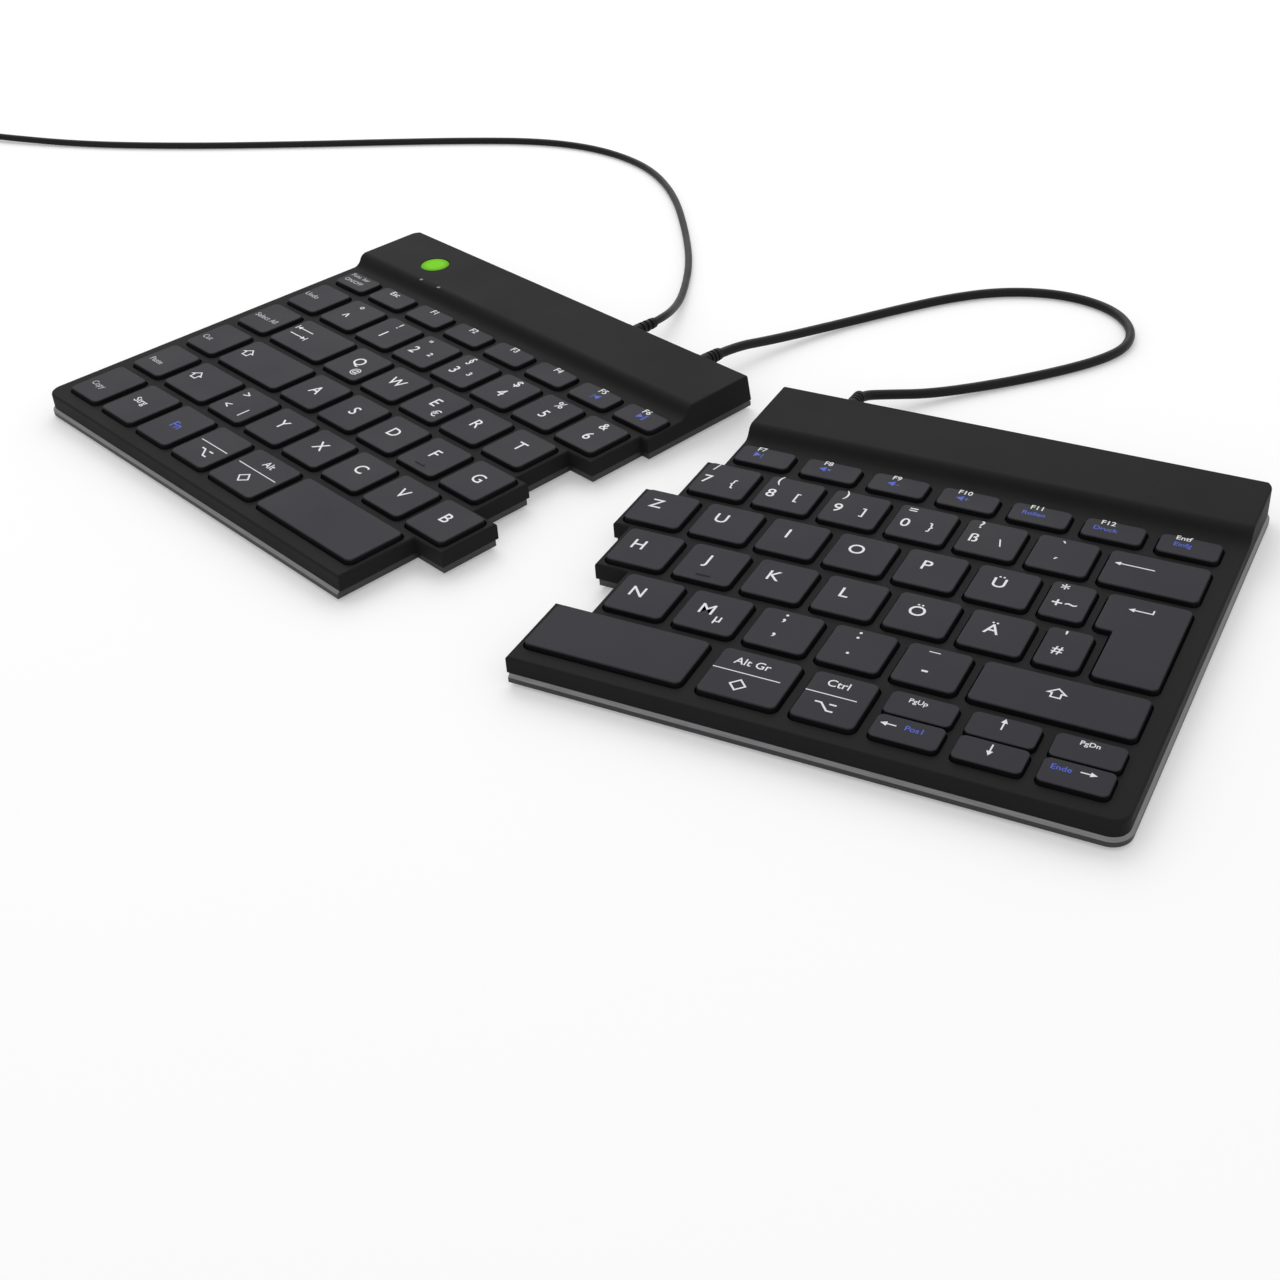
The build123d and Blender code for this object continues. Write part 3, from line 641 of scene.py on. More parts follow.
def flat_solid(shapes: Iterable[Outline], thickness: float) -> Piece:
    """Fills outlines and gives them a thickness about the plane z = 0.

    Args:
        shapes: Outlines in millimetres; one inside another makes a hole.
        thickness: Height of the solid.

    Returns:
        The solid as a mesh, in millimetres.
    """
    curve = bpy.data.curves.new("outlines", "CURVE")
    curve.dimensions = "2D"
    curve.fill_mode = "BOTH"
    curve.extrude = thickness / 2
    for shape in shapes:
        spline = curve.splines.new("POLY")
        spline.points.add(len(shape) - 1)
        for control, (x, y) in zip(spline.points, shape):
            control.co = (x, y, 0.0, 1.0)
        spline.use_cyclic_u = True
    pick(add_object("outlines", curve))
    bpy.ops.object.convert(target="MESH")
    return bpy.context.object


@dataclass(frozen=True)
class SoftCopy:
    """A CAD node's copy with softened edges that rides on the casing."""

    node: str
    name: str
    edge: float
    segments: int
    sharp: float
    finish: Finish
    slot: str

    def build(self) -> Piece:
        """Copies, softens, dresses and places the piece.

        Returns:
            The finished piece.
        """
        piece = copy_of(self.node, self.name)
        soften(piece, self.edge, self.segments, self.sharp)
        smooth(piece)
        dress(piece, [self.finish])
        return place(piece, "casing", self.slot, self.node)


COIL_STRAP = SoftCopy("cable_tie", "coil_strap", 0.15, 2, 40.0, STRAP, "tie_fabric")
PLUG_GRIP = SoftCopy("usb_plug", "usb_plug_grip", 0.5, 3, 50.0, PLUG_PLASTIC, "plug_plastic")
PLUG_SHELL = SoftCopy("usb_plug_shell", "usb_plug_metal", 0.08, 2, 50.0, PLUG_METAL, "plug_metal")
FEET = SoftCopy("rubber_feet", "rubber_foot_pads", 0.3, 3, 50.0, FOOT_RUBBER, "foot_rubber")
SCREWS = SoftCopy("base_screws", "plate_screws", 0.15, 2, 50.0, SCREW_METAL, "screw_steel")


# Places on the two halves


@dataclass(frozen=True)
class HalfFrame:
    """Where a half's flat coordinates lie: their origin in millimetres and their turn."""

    name: str
    origin_x: float
    origin_y: float
    turn: float

    def matrix(self) -> Matrix:
        """The half's place as a matrix in metres."""
        shift = Matrix.Translation((self.origin_x * MM, self.origin_y * MM, 0.0))
        return shift @ Matrix.Rotation(math.radians(self.turn), 4, "Z")

    def point(self, x: float, y: float, z: float) -> Vector:
        """A point of the half, given in its millimetres, in the model's metres."""
        return self.matrix() @ Vector((x * MM, y * MM, z * MM))

    def backwards(self) -> Vector:
        """Direction out of the half's back."""
        return self.matrix().to_3x3() @ Vector((0.0, 1.0, 0.0))


SPLAY = 19.24
LEFT = HalfFrame("left", -153.864, -44.914, -SPLAY / 2)
RIGHT = HalfFrame("right", -100.114, -90.357, SPLAY / 2)


# Cables


@dataclass
class Cable:
    """A free cable along a given route of points in millimetres."""

    name: str
    route: list[Triple]
    diameter: float
    steps: int = 10
    turns: list[Vector] = field(default_factory=list)

    def points(self) -> list[Vector]:
        """The route and the coil's turns, in metres."""
        return [Vector(point) * MM for point in self.route] + self.turns

    def build(self) -> Piece:
        """Lays one smooth spline along the points and makes it round.

        Returns:
            The cable as a curve.
        """
        curve = bpy.data.curves.new(self.name, "CURVE")
        curve.dimensions = "3D"
        spline = curve.splines.new("NURBS")
        points = self.points()
        spline.points.add(len(points) - 1)
        for control, point in zip(spline.points, points):
            control.co = (*point, 1.0)
        spline.order_u = 3
        spline.use_endpoint_u = True
        spline.resolution_u = self.steps
        curve.bevel_depth = self.diameter / 2 * MM
        curve.bevel_resolution = 5
        curve.use_fill_caps = True
        curve.materials.append(JACKET.material())
        return add_object(self.name, curve)


@dataclass
class StoredCoil:
    """The put-away length of the lead: two flat layers of half turns, in and out again."""

    before: Vector
    arrival: Vector
    lead_diameter: float = 2.5
    gap: float = 0.45
    radius: float = 22.0
    half_turns: int = 9
    tail: float = 16.0
    points_per_half: int = 8

    def axes(self) -> tuple[Vector, Vector, Vector]:
        """The coil's centre and its two level directions, in millimetres.

        Returns:
            Centre, direction across the arriving lead and direction along it.
        """
        along = (self.arrival - self.before).normalized()
        across = Vector((along.y, -along.x, 0.0))
        centre = self.arrival + along * self.lead_diameter - across * self.radius
        return centre, across, along

    def crossings(self) -> list[tuple[float, float]]:
        """Where the half turns cross the coil's middle line.

        Returns:
            Distance across and height of each crossing, in millimetres.
        """
        step = (self.lead_diameter + self.gap) / 2
        inner = self.radius - self.half_turns * step
        reaches = [self.radius - i * step for i in range(self.half_turns + 1)]
        reaches.append(inner - step)
        reaches += [inner + i * step for i in range(1, self.half_turns + 2)]
        rise = self.lead_diameter + self.gap
        return [
            ((-1) ** i * reach, 0.0 if i <= self.half_turns else rise)
            for i, reach in enumerate(reaches)
        ]

    def points(self) -> list[Vector]:
        """The turns' points, a little outside each arc so that the spline lies on it.

        Returns:
            Points in metres, from the first half turn to the tail's end.
        """
        centre, across, along = self.axes()
        step = math.pi / self.points_per_half
        outside = 2 / (1 + math.cos(step / 2) ** 2)
        crossings = self.crossings()
        spots = []
        for (x0, z0), (x1, z1) in zip(crossings, crossings[1:]):
            middle, reach = (x0 + x1) / 2, (x0 - x1) / 2 * outside
            for i in range(self.points_per_half):
                angle = (i + 0.5) * step
                height = (z0 + z1) / 2 + (z0 - z1) / 2 * math.cos(angle)
                spots.append((middle + reach * math.cos(angle), abs(reach) * math.sin(angle)
                              * (1 if x0 > x1 else -1), height))
        x, z = crossings[-1]
        spots += [(x, x * math.tan(step / 2), z), (x, self.tail, z)]
        up = Vector((0.0, 0.0, 1.0))
        return [(centre + across * x + along * y + up * z) * MM for x, y, z in spots]


@dataclass(frozen=True)
class Sleeve:
    """A tapered rubber sleeve with shallow grooves where a cable leaves a half's back.

    Lengths are in millimetres from the wall; the flange lies inside it.
    """

    node: str
    half: HalfFrame
    x: float
    root: float
    tip: float
    length: float
    grooves: int = 3
    first_groove: float = 0.5
    plain_length: float = 1.6
    groove_depth: float = 0.35
    flange_radius: float = 3.1
    flange_start: float = -4.1
    flange_end: float = -2.9
    chamfer: float = 0.1

    def profile(self) -> Outline:
        """Radius and distance along the cable of each point.

        Returns:
            The points from the flange to the tip.
        """
        start, end, wide = self.flange_start, self.flange_end, self.flange_radius
        narrow, cut = wide - self.chamfer, self.chamfer
        points = [(NEAR_AXIS, start), (narrow, start), (wide, start + cut), (wide, end - cut),
                  (narrow, end), (self.root / 2, end), (self.root / 2, 0.4)]
        pitch = (self.length - self.plain_length) / self.grooves
        for i in range(self.grooves):
            near = self.first_groove + i * pitch
            radius = (self.root + (self.tip - self.root) * near / self.length) / 2
            floor = radius - self.groove_depth
            points += [(radius, near + 0.1), (floor, near + 0.2), (floor, near + 0.45 * pitch),
                       (radius, near + 0.5 * pitch)]
        tip, length = self.tip / 2, self.length
        return points + [(tip, length - 0.5), (tip - 0.15, length - 0.1), (tip - 0.4, length),
                         (NEAR_AXIS, length)]

    def build(self) -> None:
        """Turns the sleeve and sets it into the half's back."""
        base = self.half.point(self.x, BACK_EDGE, RELIEF_HEIGHT)
        piece = lathe(self.node + "_sleeve", self.profile(), base, self.half.backwards())
        smooth(piece)
        dress(piece, [RELIEF_RUBBER])
        place(piece, "casing", "relief_black", self.node)


SLEEVES = (
    Sleeve("left_link_strain_relief", LEFT, x=113.0, root=4.3, tip=3.8, length=6.0),
    Sleeve("right_link_strain_relief", RIGHT, x=157.0, root=4.3, tip=3.8, length=6.0),
    Sleeve("usb_strain_relief", LEFT, x=82.5, root=3.9, tip=3.3, length=7.4),
)


@dataclass
class Cabling:
    """Both cables with their sleeves, the coil's strap and the plug."""

    link_diameter: float = 3.0
    lead_diameter: float = 2.5
    link_length: float = 257.0
    lead_length: float = 1436.0

    link_route = [
        (-19.99, 68.71, 6.6), (-18.3, 78.6, 6.4), (-14.0, 93.0, 3.6), (-4.6, 114.5, 1.8),
        (7.4, 136.4, 1.5), (17.3, 151.8, 1.5), (28.0, 163.5, 1.5), (41.0, 171.0, 1.5),
        (54.0, 173.5, 1.5), (67.0, 171.0, 1.5), (77.0, 162.5, 1.5), (81.0, 151.0, 1.5),
        (78.5, 140.0, 1.5), (71.5, 127.0, 1.5), (59.6, 110.0, 1.5), (45.5, 91.5, 2.4),
        (36.0, 79.5, 5.0), (31.4, 72.8, 6.5), (32.2, 68.4, 6.6),
    ]
    lead_route = [
        (-49.8, 75.2, 6.6), (-48.9, 83.3, 6.4), (-53.4, 96.0, 3.6), (-59.8, 109.0, 1.7),
        (-72.0, 129.5, 1.25), (-89.0, 150.5, 1.25), (-110.5, 173.5, 1.25),
        (-131.5, 188.5, 1.25), (-151.3, 194.4, 1.25), (-170.6, 194.5, 1.25),
        (-190.0, 189.0, 1.25), (-211.0, 177.5, 1.25), (-238.0, 160.0, 1.25),
        (-271.0, 137.5, 1.25), (-308.5, 113.5, 1.25), (-346.0, 93.5, 1.25),
        (-381.3, 80.3, 1.85), (-412.6, 72.3, 1.85),
    ]

    def build(self) -> None:
        """Builds what the lead carries, then the cables and their sleeves."""
        ends = [piece.build() for piece in (PLUG_GRIP, PLUG_SHELL, COIL_STRAP)]
        self.link()
        self.lead()
        for sleeve in SLEEVES:
            sleeve.build()

    def link(self) -> None:
        """The cable that joins the halves."""
        cable = Cable("link_cable_jacket", self.link_route, self.link_diameter).build()
        place(cable, "casing", "cable_black", "link_cable")

    def lead(self) -> None:
        """The lead with its put-away coil.
        """
        coil = StoredCoil(Vector(self.lead_route[-2]), Vector(self.lead_route[-1]))
        cable = Cable("usb_lead_jacket", self.lead_route, self.lead_diameter, 8,
                      coil.points()).build()
        place(cable, "casing", "cable_black", "usb_lead", "usb_lead_coil")


# Casing


@dataclass
class Casing:
    """Covers, plates, feet, screws, lens and the parts inside."""

    edge_softness: float = 0.14
    plate_softness: float = 0.12
    corner_radius: float = 4.5
    left_edge: float = -22.3
    right_edge: float = 279.9
    front_edge: float = -15.2
    rib_foot: float = 3.32
    front_rib_top: float = 7.2
    back_rib_top: float = 10.9
    rib_depth: float = 0.7
    lens_x: float = 4.0
    lens_y: float = 114.0
    lens_diameter: float = 9.4
    lens_thickness: float = 0.8
    lens_rim: float = 0.35
    lens_crown: float = 0.7

    def build(self) -> None:
        """Builds both halves' casings."""
        for half in (LEFT, RIGHT):
            self.cover(half)
            self.plate(half)
        FEET.build()
        SCREWS.build()
        self.lens()
        self.inner_parts()

    def cover(self, half: HalfFrame) -> None:
        """The top cover with softened cut-outs.

        Args:
            half: Which half.
        """
        node = half.name + "_top_cover"
        piece = copy_of(node, half.name + "_cover_shell", flatten=False)
        soften(piece, self.edge_softness, 2, 50.0, loop_slide=False)
        outer_x, side = (self.left_edge, -1) if half is LEFT else (self.right_edge, 1)
        ends = ((self.front_edge, -1, self.front_rib_top), (BACK_EDGE, 1, self.back_rib_top))
        ribs = [self.corner_rib(half, outer_x, side, *end) for end in ends]
        piece = join([piece, *ribs], piece.name)
        smooth(piece, 30.0)
        dress(piece, [CASING])
        place(piece, "casing", "casing_plastic", node)

    def corner_rib(self, half: HalfFrame, x: float, side: int, y: float, way: int, top: float
                   ) -> Piece:
        """A rib that closes the thin wall inside a rounded outer corner.

        Args:
            half: Which half.
            x: The corner's place along the rows.
            side: 1 for a right corner and -1 for a left one.
            y: Its place away from the user.
            way: 1 for a back corner and -1 for a front one.
            top: Height of the rib's top.

        Returns:
            The rib in the model's metres.
        """
        middle = math.atan2(way, side)
        angles = [middle + math.radians(step) for step in (-9.0, -3.0, 3.0, 9.0)]
        outer, inner = self.corner_radius - 0.01, self.corner_radius - self.rib_depth
        outline = [(outer * math.cos(a), outer * math.sin(a)) for a in angles]
        outline += [(inner * math.cos(a), inner * math.sin(a)) for a in reversed(angles)]
        rib = flat_solid([outline], top - self.rib_foot)
        centre = (x - side * self.corner_radius, y - way * self.corner_radius,
                  (top + self.rib_foot) / 2)
        rib.data.transform(half.matrix() @ Matrix.Scale(MM, 4) @ Matrix.Translation(centre))
        return rib

    def plate(self, half: HalfFrame) -> None:
        """The steel plate: bright chamfer and ledge, side faces painted darker as shade.

        Args:
            half: Which half.
        """
        node = half.name + "_base_plate"
        piece = copy_of(node, half.name + "_steel_plate")
        soften(piece, self.plate_softness, 2, 40.0)
        smooth(piece, 30.0)

        def side(polygon: bpy.types.MeshPolygon) -> int:
            """Slot of a face by the way it faces; side faces take the steel painted darker as
            shade.
            """
            return 0 if polygon.normal.z > 0.3 else 2 if polygon.normal.z < -0.5 else 1

        # The second finish is painted shade on the plate's side faces.
        dress(piece, [PLATE_TOP, PLATE_EDGE_PAINTED_SHADE, PLATE_UNDER], side)
        place(piece, "casing", "plate_steel", node)

    def lens(self) -> None:
        """The round lit lens, slightly domed."""
        radius, top, tuck = self.lens_diameter / 2, self.lens_thickness, 0.18
        profile = [(NEAR_AXIS, 0.0), (radius, 0.0), (radius, top - self.lens_rim)]
        for degrees in range(15, 90, 15):
            angle = math.radians(degrees)
            profile.append((radius * (1 - tuck * (1 - math.cos(angle))),
                            top - self.lens_rim * (1 - math.sin(angle))))
        profile += [(radius * self.lens_crown, top), (NEAR_AXIS, top + 0.02)]
        base = LEFT.point(self.lens_x, self.lens_y, BAR_TOP - self.lens_thickness)
        piece = lathe("indicator_lens_dome", profile, base, Vector((0.0, 0.0, 1.0)))
        smooth(piece, 60.0)
        centre = LEFT.point(self.lens_x, self.lens_y, BAR_TOP)
        dress(piece, [LitLens("lens_green", (0.17, 0.56, 0.008), 0.45, 0.03, tuple(centre))])
        place(piece, "casing", "lens_green", "indicator_lens")

    def inner_parts(self) -> None:
        """Finishes of the pieces that stay as the CAD model has them."""
        finishes = {"status_leds": LED_PLASTIC}
        for half in (LEFT, RIGHT):
            finishes[half.name + "_key_support_sheet"] = SHEET_METAL
            # The membrane's near black is partly its own dark film and partly painted shade in
            # the gaps between keys.
            finishes[half.name + "_membrane"] = MEMBRANE_WITH_PAINTED_SHADE
            finishes[half.name + "_rubber_domes"] = DOME_RUBBER
            finishes[half.name + "_circuit_board"] = BOARD
        for node, finish in finishes.items():
            dress(frame["nodes"][node], [finish])
            log.info("%s dressed", node)


# Key legends


def stroke(points: Outline, width: float, closed: bool = False) -> list[Outline]:
    """Outlines of a line of even width with mitred corners.

    Args:
        points: The line's points in millimetres.
        width: How thick it is.
        closed: Whether its end joins its start.

    Returns:
        One outline, or an outer and an inner one when closed.
    """
    spots = [Vector(point) for point in points]
    last = len(spots) - 1
    sides = []
    for i, spot in enumerate(spots):
        before = (spot - spots[i - 1]) if i or closed else spots[1] - spot
        after = (spots[(i + 1) % len(spots)] - spot) if i < last or closed else before
        before, after = before.normalized(), after.normalized()
        along = (before + after).normalized()
        reach = width / 2 / max(0.25, along.dot(before))
        sides.append(Vector((-along.y, along.x)) * reach)
    left = [tuple(spot + side) for spot, side in zip(spots, sides)]
    right = [tuple(spot - side) for spot, side in zip(spots, sides)]
    return [left, right] if closed else [left + right[::-1]]


def arrow(length: float, turn: float, stop: bool = False) -> list[Outline]:
    """A plain arrow with a filled head about its middle.

    Args:
        length: From its end to its tip, in millimetres.
        turn: The way it points, in degrees from the rows' direction.
        stop: Whether a bar stands at its tip.

    Returns:
        Its outlines.
    """
    half, neck, side = length / 2, length / 2 - 1.6, 0.19
    shapes = [[(-half, -side), (neck, -side), (neck, -0.8), (half, 0.0), (neck, 0.8),
               (neck, side), (-half, side)]]
    if stop:
        shapes += stroke([(half + 0.3, -1.1), (half + 0.3, 1.1)], 2 * side)
    swing = Matrix.Rotation(math.radians(turn), 2)
    return [[tuple(swing @ Vector(point)) for point in shape] for shape in shapes]


def divider(start: float, end: float) -> list[Outline]:
    """The thin line between a key's two legends, from one x to another."""
    return stroke([(start, 0.0), (end, 0.0)], 0.3)


SHIFT_SIGN = stroke([(0.0, 1.9), (2.1, 0.1), (1.15, 0.1), (1.15, -1.5), (-1.15, -1.5),
                     (-1.15, 0.1), (-2.1, 0.1)], 0.42, closed=True)
OPTION_SIGN = (stroke([(-2.7, 1.2), (-1.1, 1.2), (1.1, -1.3), (2.7, -1.3)], 0.5)
               + stroke([(0.9, 1.2), (2.7, 1.2)], 0.5))
DIAMOND_SIGN = stroke([(0.0, 2.0), (2.0, 0.0), (0.0, -2.0), (-2.0, 0.0)], 0.45, closed=True)
ENTER_SIGN = [[(-3.0, -0.7), (-1.5, -1.5), (-1.5, -0.9), (3.2, -0.9), (3.2, 0.9), (2.8, 0.9),
               (2.8, -0.5), (-1.5, -0.5), (-1.5, 0.1)]]


@dataclass(frozen=True)
class Mark:
    """One printed sign: text or outlines, place from the key's middle, capital height, ink."""

    text: str
    x: float
    y: float
    height: float = 0.0
    ink: Ink = Ink.WHITE
    shapes: tuple[Outline, ...] = ()


def drawn(shapes: list[Outline], x: float, y: float) -> Mark:
    """A mark made of outlines, with their origin at a place from the key's middle."""
    return Mark("", x, y, shapes=tuple(shapes))


@dataclass(frozen=True)
class Cap:
    """One key: its middle in the half's millimetres and what is printed on it."""

    x: float
    y: float
    marks: tuple[Mark, ...]


class Row(Enum):
    """Middle of each row of keys in the half's millimetres."""

    FRONT = -1.15
    LOWER = PITCH
    HOME = 2 * PITCH
    UPPER = 3 * PITCH
    NUMBER = 4 * PITCH

    def key(self, column: float, *marks: Mark) -> Cap:
        """A key of this row, its middle at a column in pitches."""
        return Cap(column * PITCH, self.value, marks)


def on_half(*marks: Mark) -> Cap:
    """Signs whose places are given on the half itself."""
    return Cap(0.0, 0.0, marks)


LETTER = 3.9
DIGIT = 3.7
SIGN = 3.1
WORD = 2.4
SMALL = 1.7
TINY = 1.65


@dataclass
class Keyboard:
    """All keys: caps with softened tops and their printed legends."""

    cap_softness: float = 0.3
    print_thickness: float = 0.02
    capital_share: float = 0.68
    stroke_gain: float = 0.004
    ink_spread: float = 0.02
    rim_angle: float = 0.8

    def build(self) -> None:
        """Builds every key node's caps, then every legend."""
        for node in frame["nodes"]:
            if node + "_body" in frame["bodies"]:
                self.caps(node)
        for half, keys in ((LEFT, self.left_legends()), (RIGHT, self.right_legends())):
            for node, caps in keys.items():
                self.print_legends(node, half, caps)

    def caps(self, node: str) -> None:
        """One node's caps.

        Args:
            node: The CAD node.
        """
        piece = copy_of(node, node + "_caps")
        top = KEY_TOP * MM
        near = 0.01 * MM

        def on_rim(edge: bmesh.types.BMEdge) -> bool:
            """Whether an edge is on the rim of a cap's top."""
            level = all(abs(vertex.co.z - top) < near for vertex in edge.verts)
            return level and edge.is_manifold and edge.calc_face_angle(0.0) > self.rim_angle

        select_edges(piece, on_rim)
        bpy.ops.mesh.bevel(offset=self.cap_softness * MM, segments=3, profile=0.5,
                           affect="EDGES", clamp_overlap=True)
        bpy.ops.object.mode_set(mode="OBJECT")
        smooth(piece, 32.0)

        def top_or_painted_shade_slot(polygon: bpy.types.MeshPolygon) -> int:
            """Top finish for what faces up; the rest takes the skirt finish, painted near black
            as shade.
            """
            upper = polygon.center.z > top - 1.5 * self.cap_softness * MM
            return 0 if upper and polygon.normal.z > 0.35 else 1

        # The skirts' finish is painted shade: the caps' plastic painted near black.
        dress(piece, [KEY_TOPS, KEY_SKIRTS_PAINTED_SHADE], top_or_painted_shade_slot)
        place(piece, node + "_body", "key_plastic", node)

    def print_legends(self, node: str, half: HalfFrame, caps: Iterable[Cap]) -> None:
        """Prints one node's legends as thin raised ink.

        Args:
            node: The CAD node.
            half: The half that its keys are on.
            caps: Its keys.
        """
        pieces = []
        for cap in caps:
            for mark in cap.marks:
                if mark.shapes:
                    sign = flat_solid(mark.shapes, self.print_thickness)
                else:
                    sign = self.write(mark)
                height = KEY_TOP + self.print_thickness / 2
                shift = Matrix.Translation((cap.x + mark.x, cap.y + mark.y, height))
                sign.data.transform(half.matrix() @ Matrix.Scale(MM, 4) @ shift)
                dress(sign, [mark.ink.value])
                pieces.append(sign)
        legend = join(pieces, node + "_legends")
        place(legend, node + "_body", "key_plastic")

    def write(self, mark: Mark) -> Piece:
        """A text as a thin solid, in millimetres about its middle.

        Args:
            mark: What is printed.

        Returns:
            The text as a mesh.
        """
        bpy.ops.object.select_all(action="DESELECT")
        bpy.ops.object.text_add()
        sign = bpy.context.object
        sign.data.body = mark.text
        sign.data.size = mark.height / self.capital_share
        sign.data.resolution_u = 4
        sign.data.extrude = self.print_thickness / 2
        sign.data.offset = self.stroke_gain * mark.height + self.ink_spread
        bpy.ops.object.convert(target="MESH")
        sign = bpy.context.object
        corners = [vertex.co for vertex in sign.data.vertices]
        middle_x = (min(c.x for c in corners) + max(c.x for c in corners)) / 2
        middle_y = (min(c.y for c in corners) + max(c.y for c in corners)) / 2
        sign.data.transform(Matrix.Translation((-middle_x, -middle_y, 0.0)))
        return sign

    def letters(self, text: str, first: float, row: Row, shift: tuple[float, float],
                drift: float = 0.0, **seconds: Mark) -> list[Cap]:
        """Plain letters on neighbouring keys.

        Args:
            text: One letter for each key.
            first: Left edge of the first key in pitches.
            row: The row.
            shift: Place of the first letter from its key's middle.
            drift: How much farther right each next letter lies on its key.
            **seconds: A second sign for the letter of that name.

        Returns:
            The keys.
        """
        rows = []
        for i, letter in enumerate(text):
            marks = (Mark(letter, shift[0] + i * drift, shift[1], LETTER),)
            rows.append(marks + ((seconds[letter],) if letter in seconds else ()))
        return self.signs(rows, first, row)

    def signs(self, rows: list[tuple[Mark, ...]], first: float, row: Row) -> list[Cap]:
        """Neighbouring keys with several signs; the first one's left edge is in pitches."""
        return [row.key(first + i + 0.5, *marks) for i, marks in enumerate(rows)]

    def left_legends(self) -> dict[str, list[Cap]]:
        """What is printed on the left half.

        Returns:
            Keys of each node.
        """
        at = (-0.45, 0.75)
        upper = self.letters("QWERT", 1.5, Row.UPPER, at, Q=Mark("@", 3.55, -3.55, 2.5),
                             E=Mark("€", 4.2, -3.3, SIGN))
        home = self.letters("ASD", 1.75, Row.HOME, at) + self.letters("G", 5.75, Row.HOME, at)
        lower = [Row.LOWER.key(1.75, Mark("<", -3.85, -3.0, SIGN), Mark(">", -4.15, 4.2, SIGN),
                               Mark("|", 4.05, -2.9, SIGN))]
        lower += self.letters("YXCVB", 2.25, Row.LOWER, (-0.4, 0.95))
        numbers = [(Mark("^", -1.6, -1.3, DIGIT), Mark("°", -1.6, 4.9, DIGIT))]
        for digit, sign, third, x in (("1", "!", "", -0.8), ("2", '"', "²", -3.9),
                                      ("3", "§", "³", -3.2), ("4", "$", "", -0.2),
                                      ("5", "%", "", 0.0), ("6", "&", "", 0.1)):
            marks = (Mark(digit, x, -1.5, DIGIT), Mark(sign, x, 5.0, SIGN))
            numbers.append(marks + ((Mark(third, 2.65, -0.6, DIGIT),) if third else ()))
        words = (("Copy", -10.8, -2.4), ("Paste", -11.2, -2.0), ("Cut", -12.7, -1.6),
                 ("Select All", -9.7, -0.7), ("Undo", -12.4, -0.1))
        macro = [row.key(0.0, Mark(word, x, y, 1.95, Ink.GREY))
                 for (word, x, y), row in zip(words, Row)]
        macro.append(on_half(Mark("Func. bar", -10.7, 94.3, TINY, Ink.GREY),
                             Mark("ON/OFF", -10.4, 91.0, TINY, Ink.GREY)))
        functions = []
        icons = ("", "", "", "", "|◀", "▶‖")
        for i, (icon, x) in enumerate(zip(icons, (28.2, 48.0, 67.8, 88.05, 107.9, 126.7))):
            marks = (Mark(f"F{i + 1}", x, 94.5 + 0.1 * i, 2.15),)
            if icon:
                marks += (Mark(icon, x + 0.4, 91.3 + 0.8 * (i - 4), SMALL, Ink.BLUE),)
            functions.append(on_half(*marks))
        return {
            "macro_keys": macro,
            "escape_key": [on_half(Mark("Esc", 8.2, 94.2, 2.15))],
            "left_function_keys": functions,
            "left_number_keys": self.signs(numbers, 0, Row.NUMBER),
            "tab_key": [Row.UPPER.key(0.75, drawn(arrow(7.6, 180.0, True), -7.1, 2.5),
                                      drawn(arrow(7.6, 0.0, True), -6.3, -1.2))],
            "left_upper_letter_keys": upper,
            "caps_lock_key": [Row.HOME.key(0.875, drawn(SHIFT_SIGN, -10.4, 0.6))],
            "left_home_letter_keys": home,
            "f_homing_key": self.letters("F", 4.75, Row.HOME, (-0.8, 1.0)),
            "left_shift_key": [Row.LOWER.key(0.625, drawn(SHIFT_SIGN, -5.3, 0.8))],
            "left_lower_letter_keys": lower,
            "left_control_key": [Row.FRONT.key(0.5, Mark("Strg", -1.3, 0.55, WORD))],
            "fn_key": [Row.FRONT.key(1.5, Mark("Fn", 0.5, 0.1, 3.1, Ink.BLUE))],
            "option_key": [Row.FRONT.key(2.5, drawn(divider(-6.2, 6.6), 0.0, 0.75),
                                         drawn(OPTION_SIGN, 0.8, -3.1))],
            "alt_key": [Row.FRONT.key(3.625, Mark("Alt", 0.1, 5.0, WORD),
                                      drawn(divider(-8.8, 8.75), 0.0, 0.9),
                                      drawn(DIAMOND_SIGN, -0.2, -3.4))],
        }

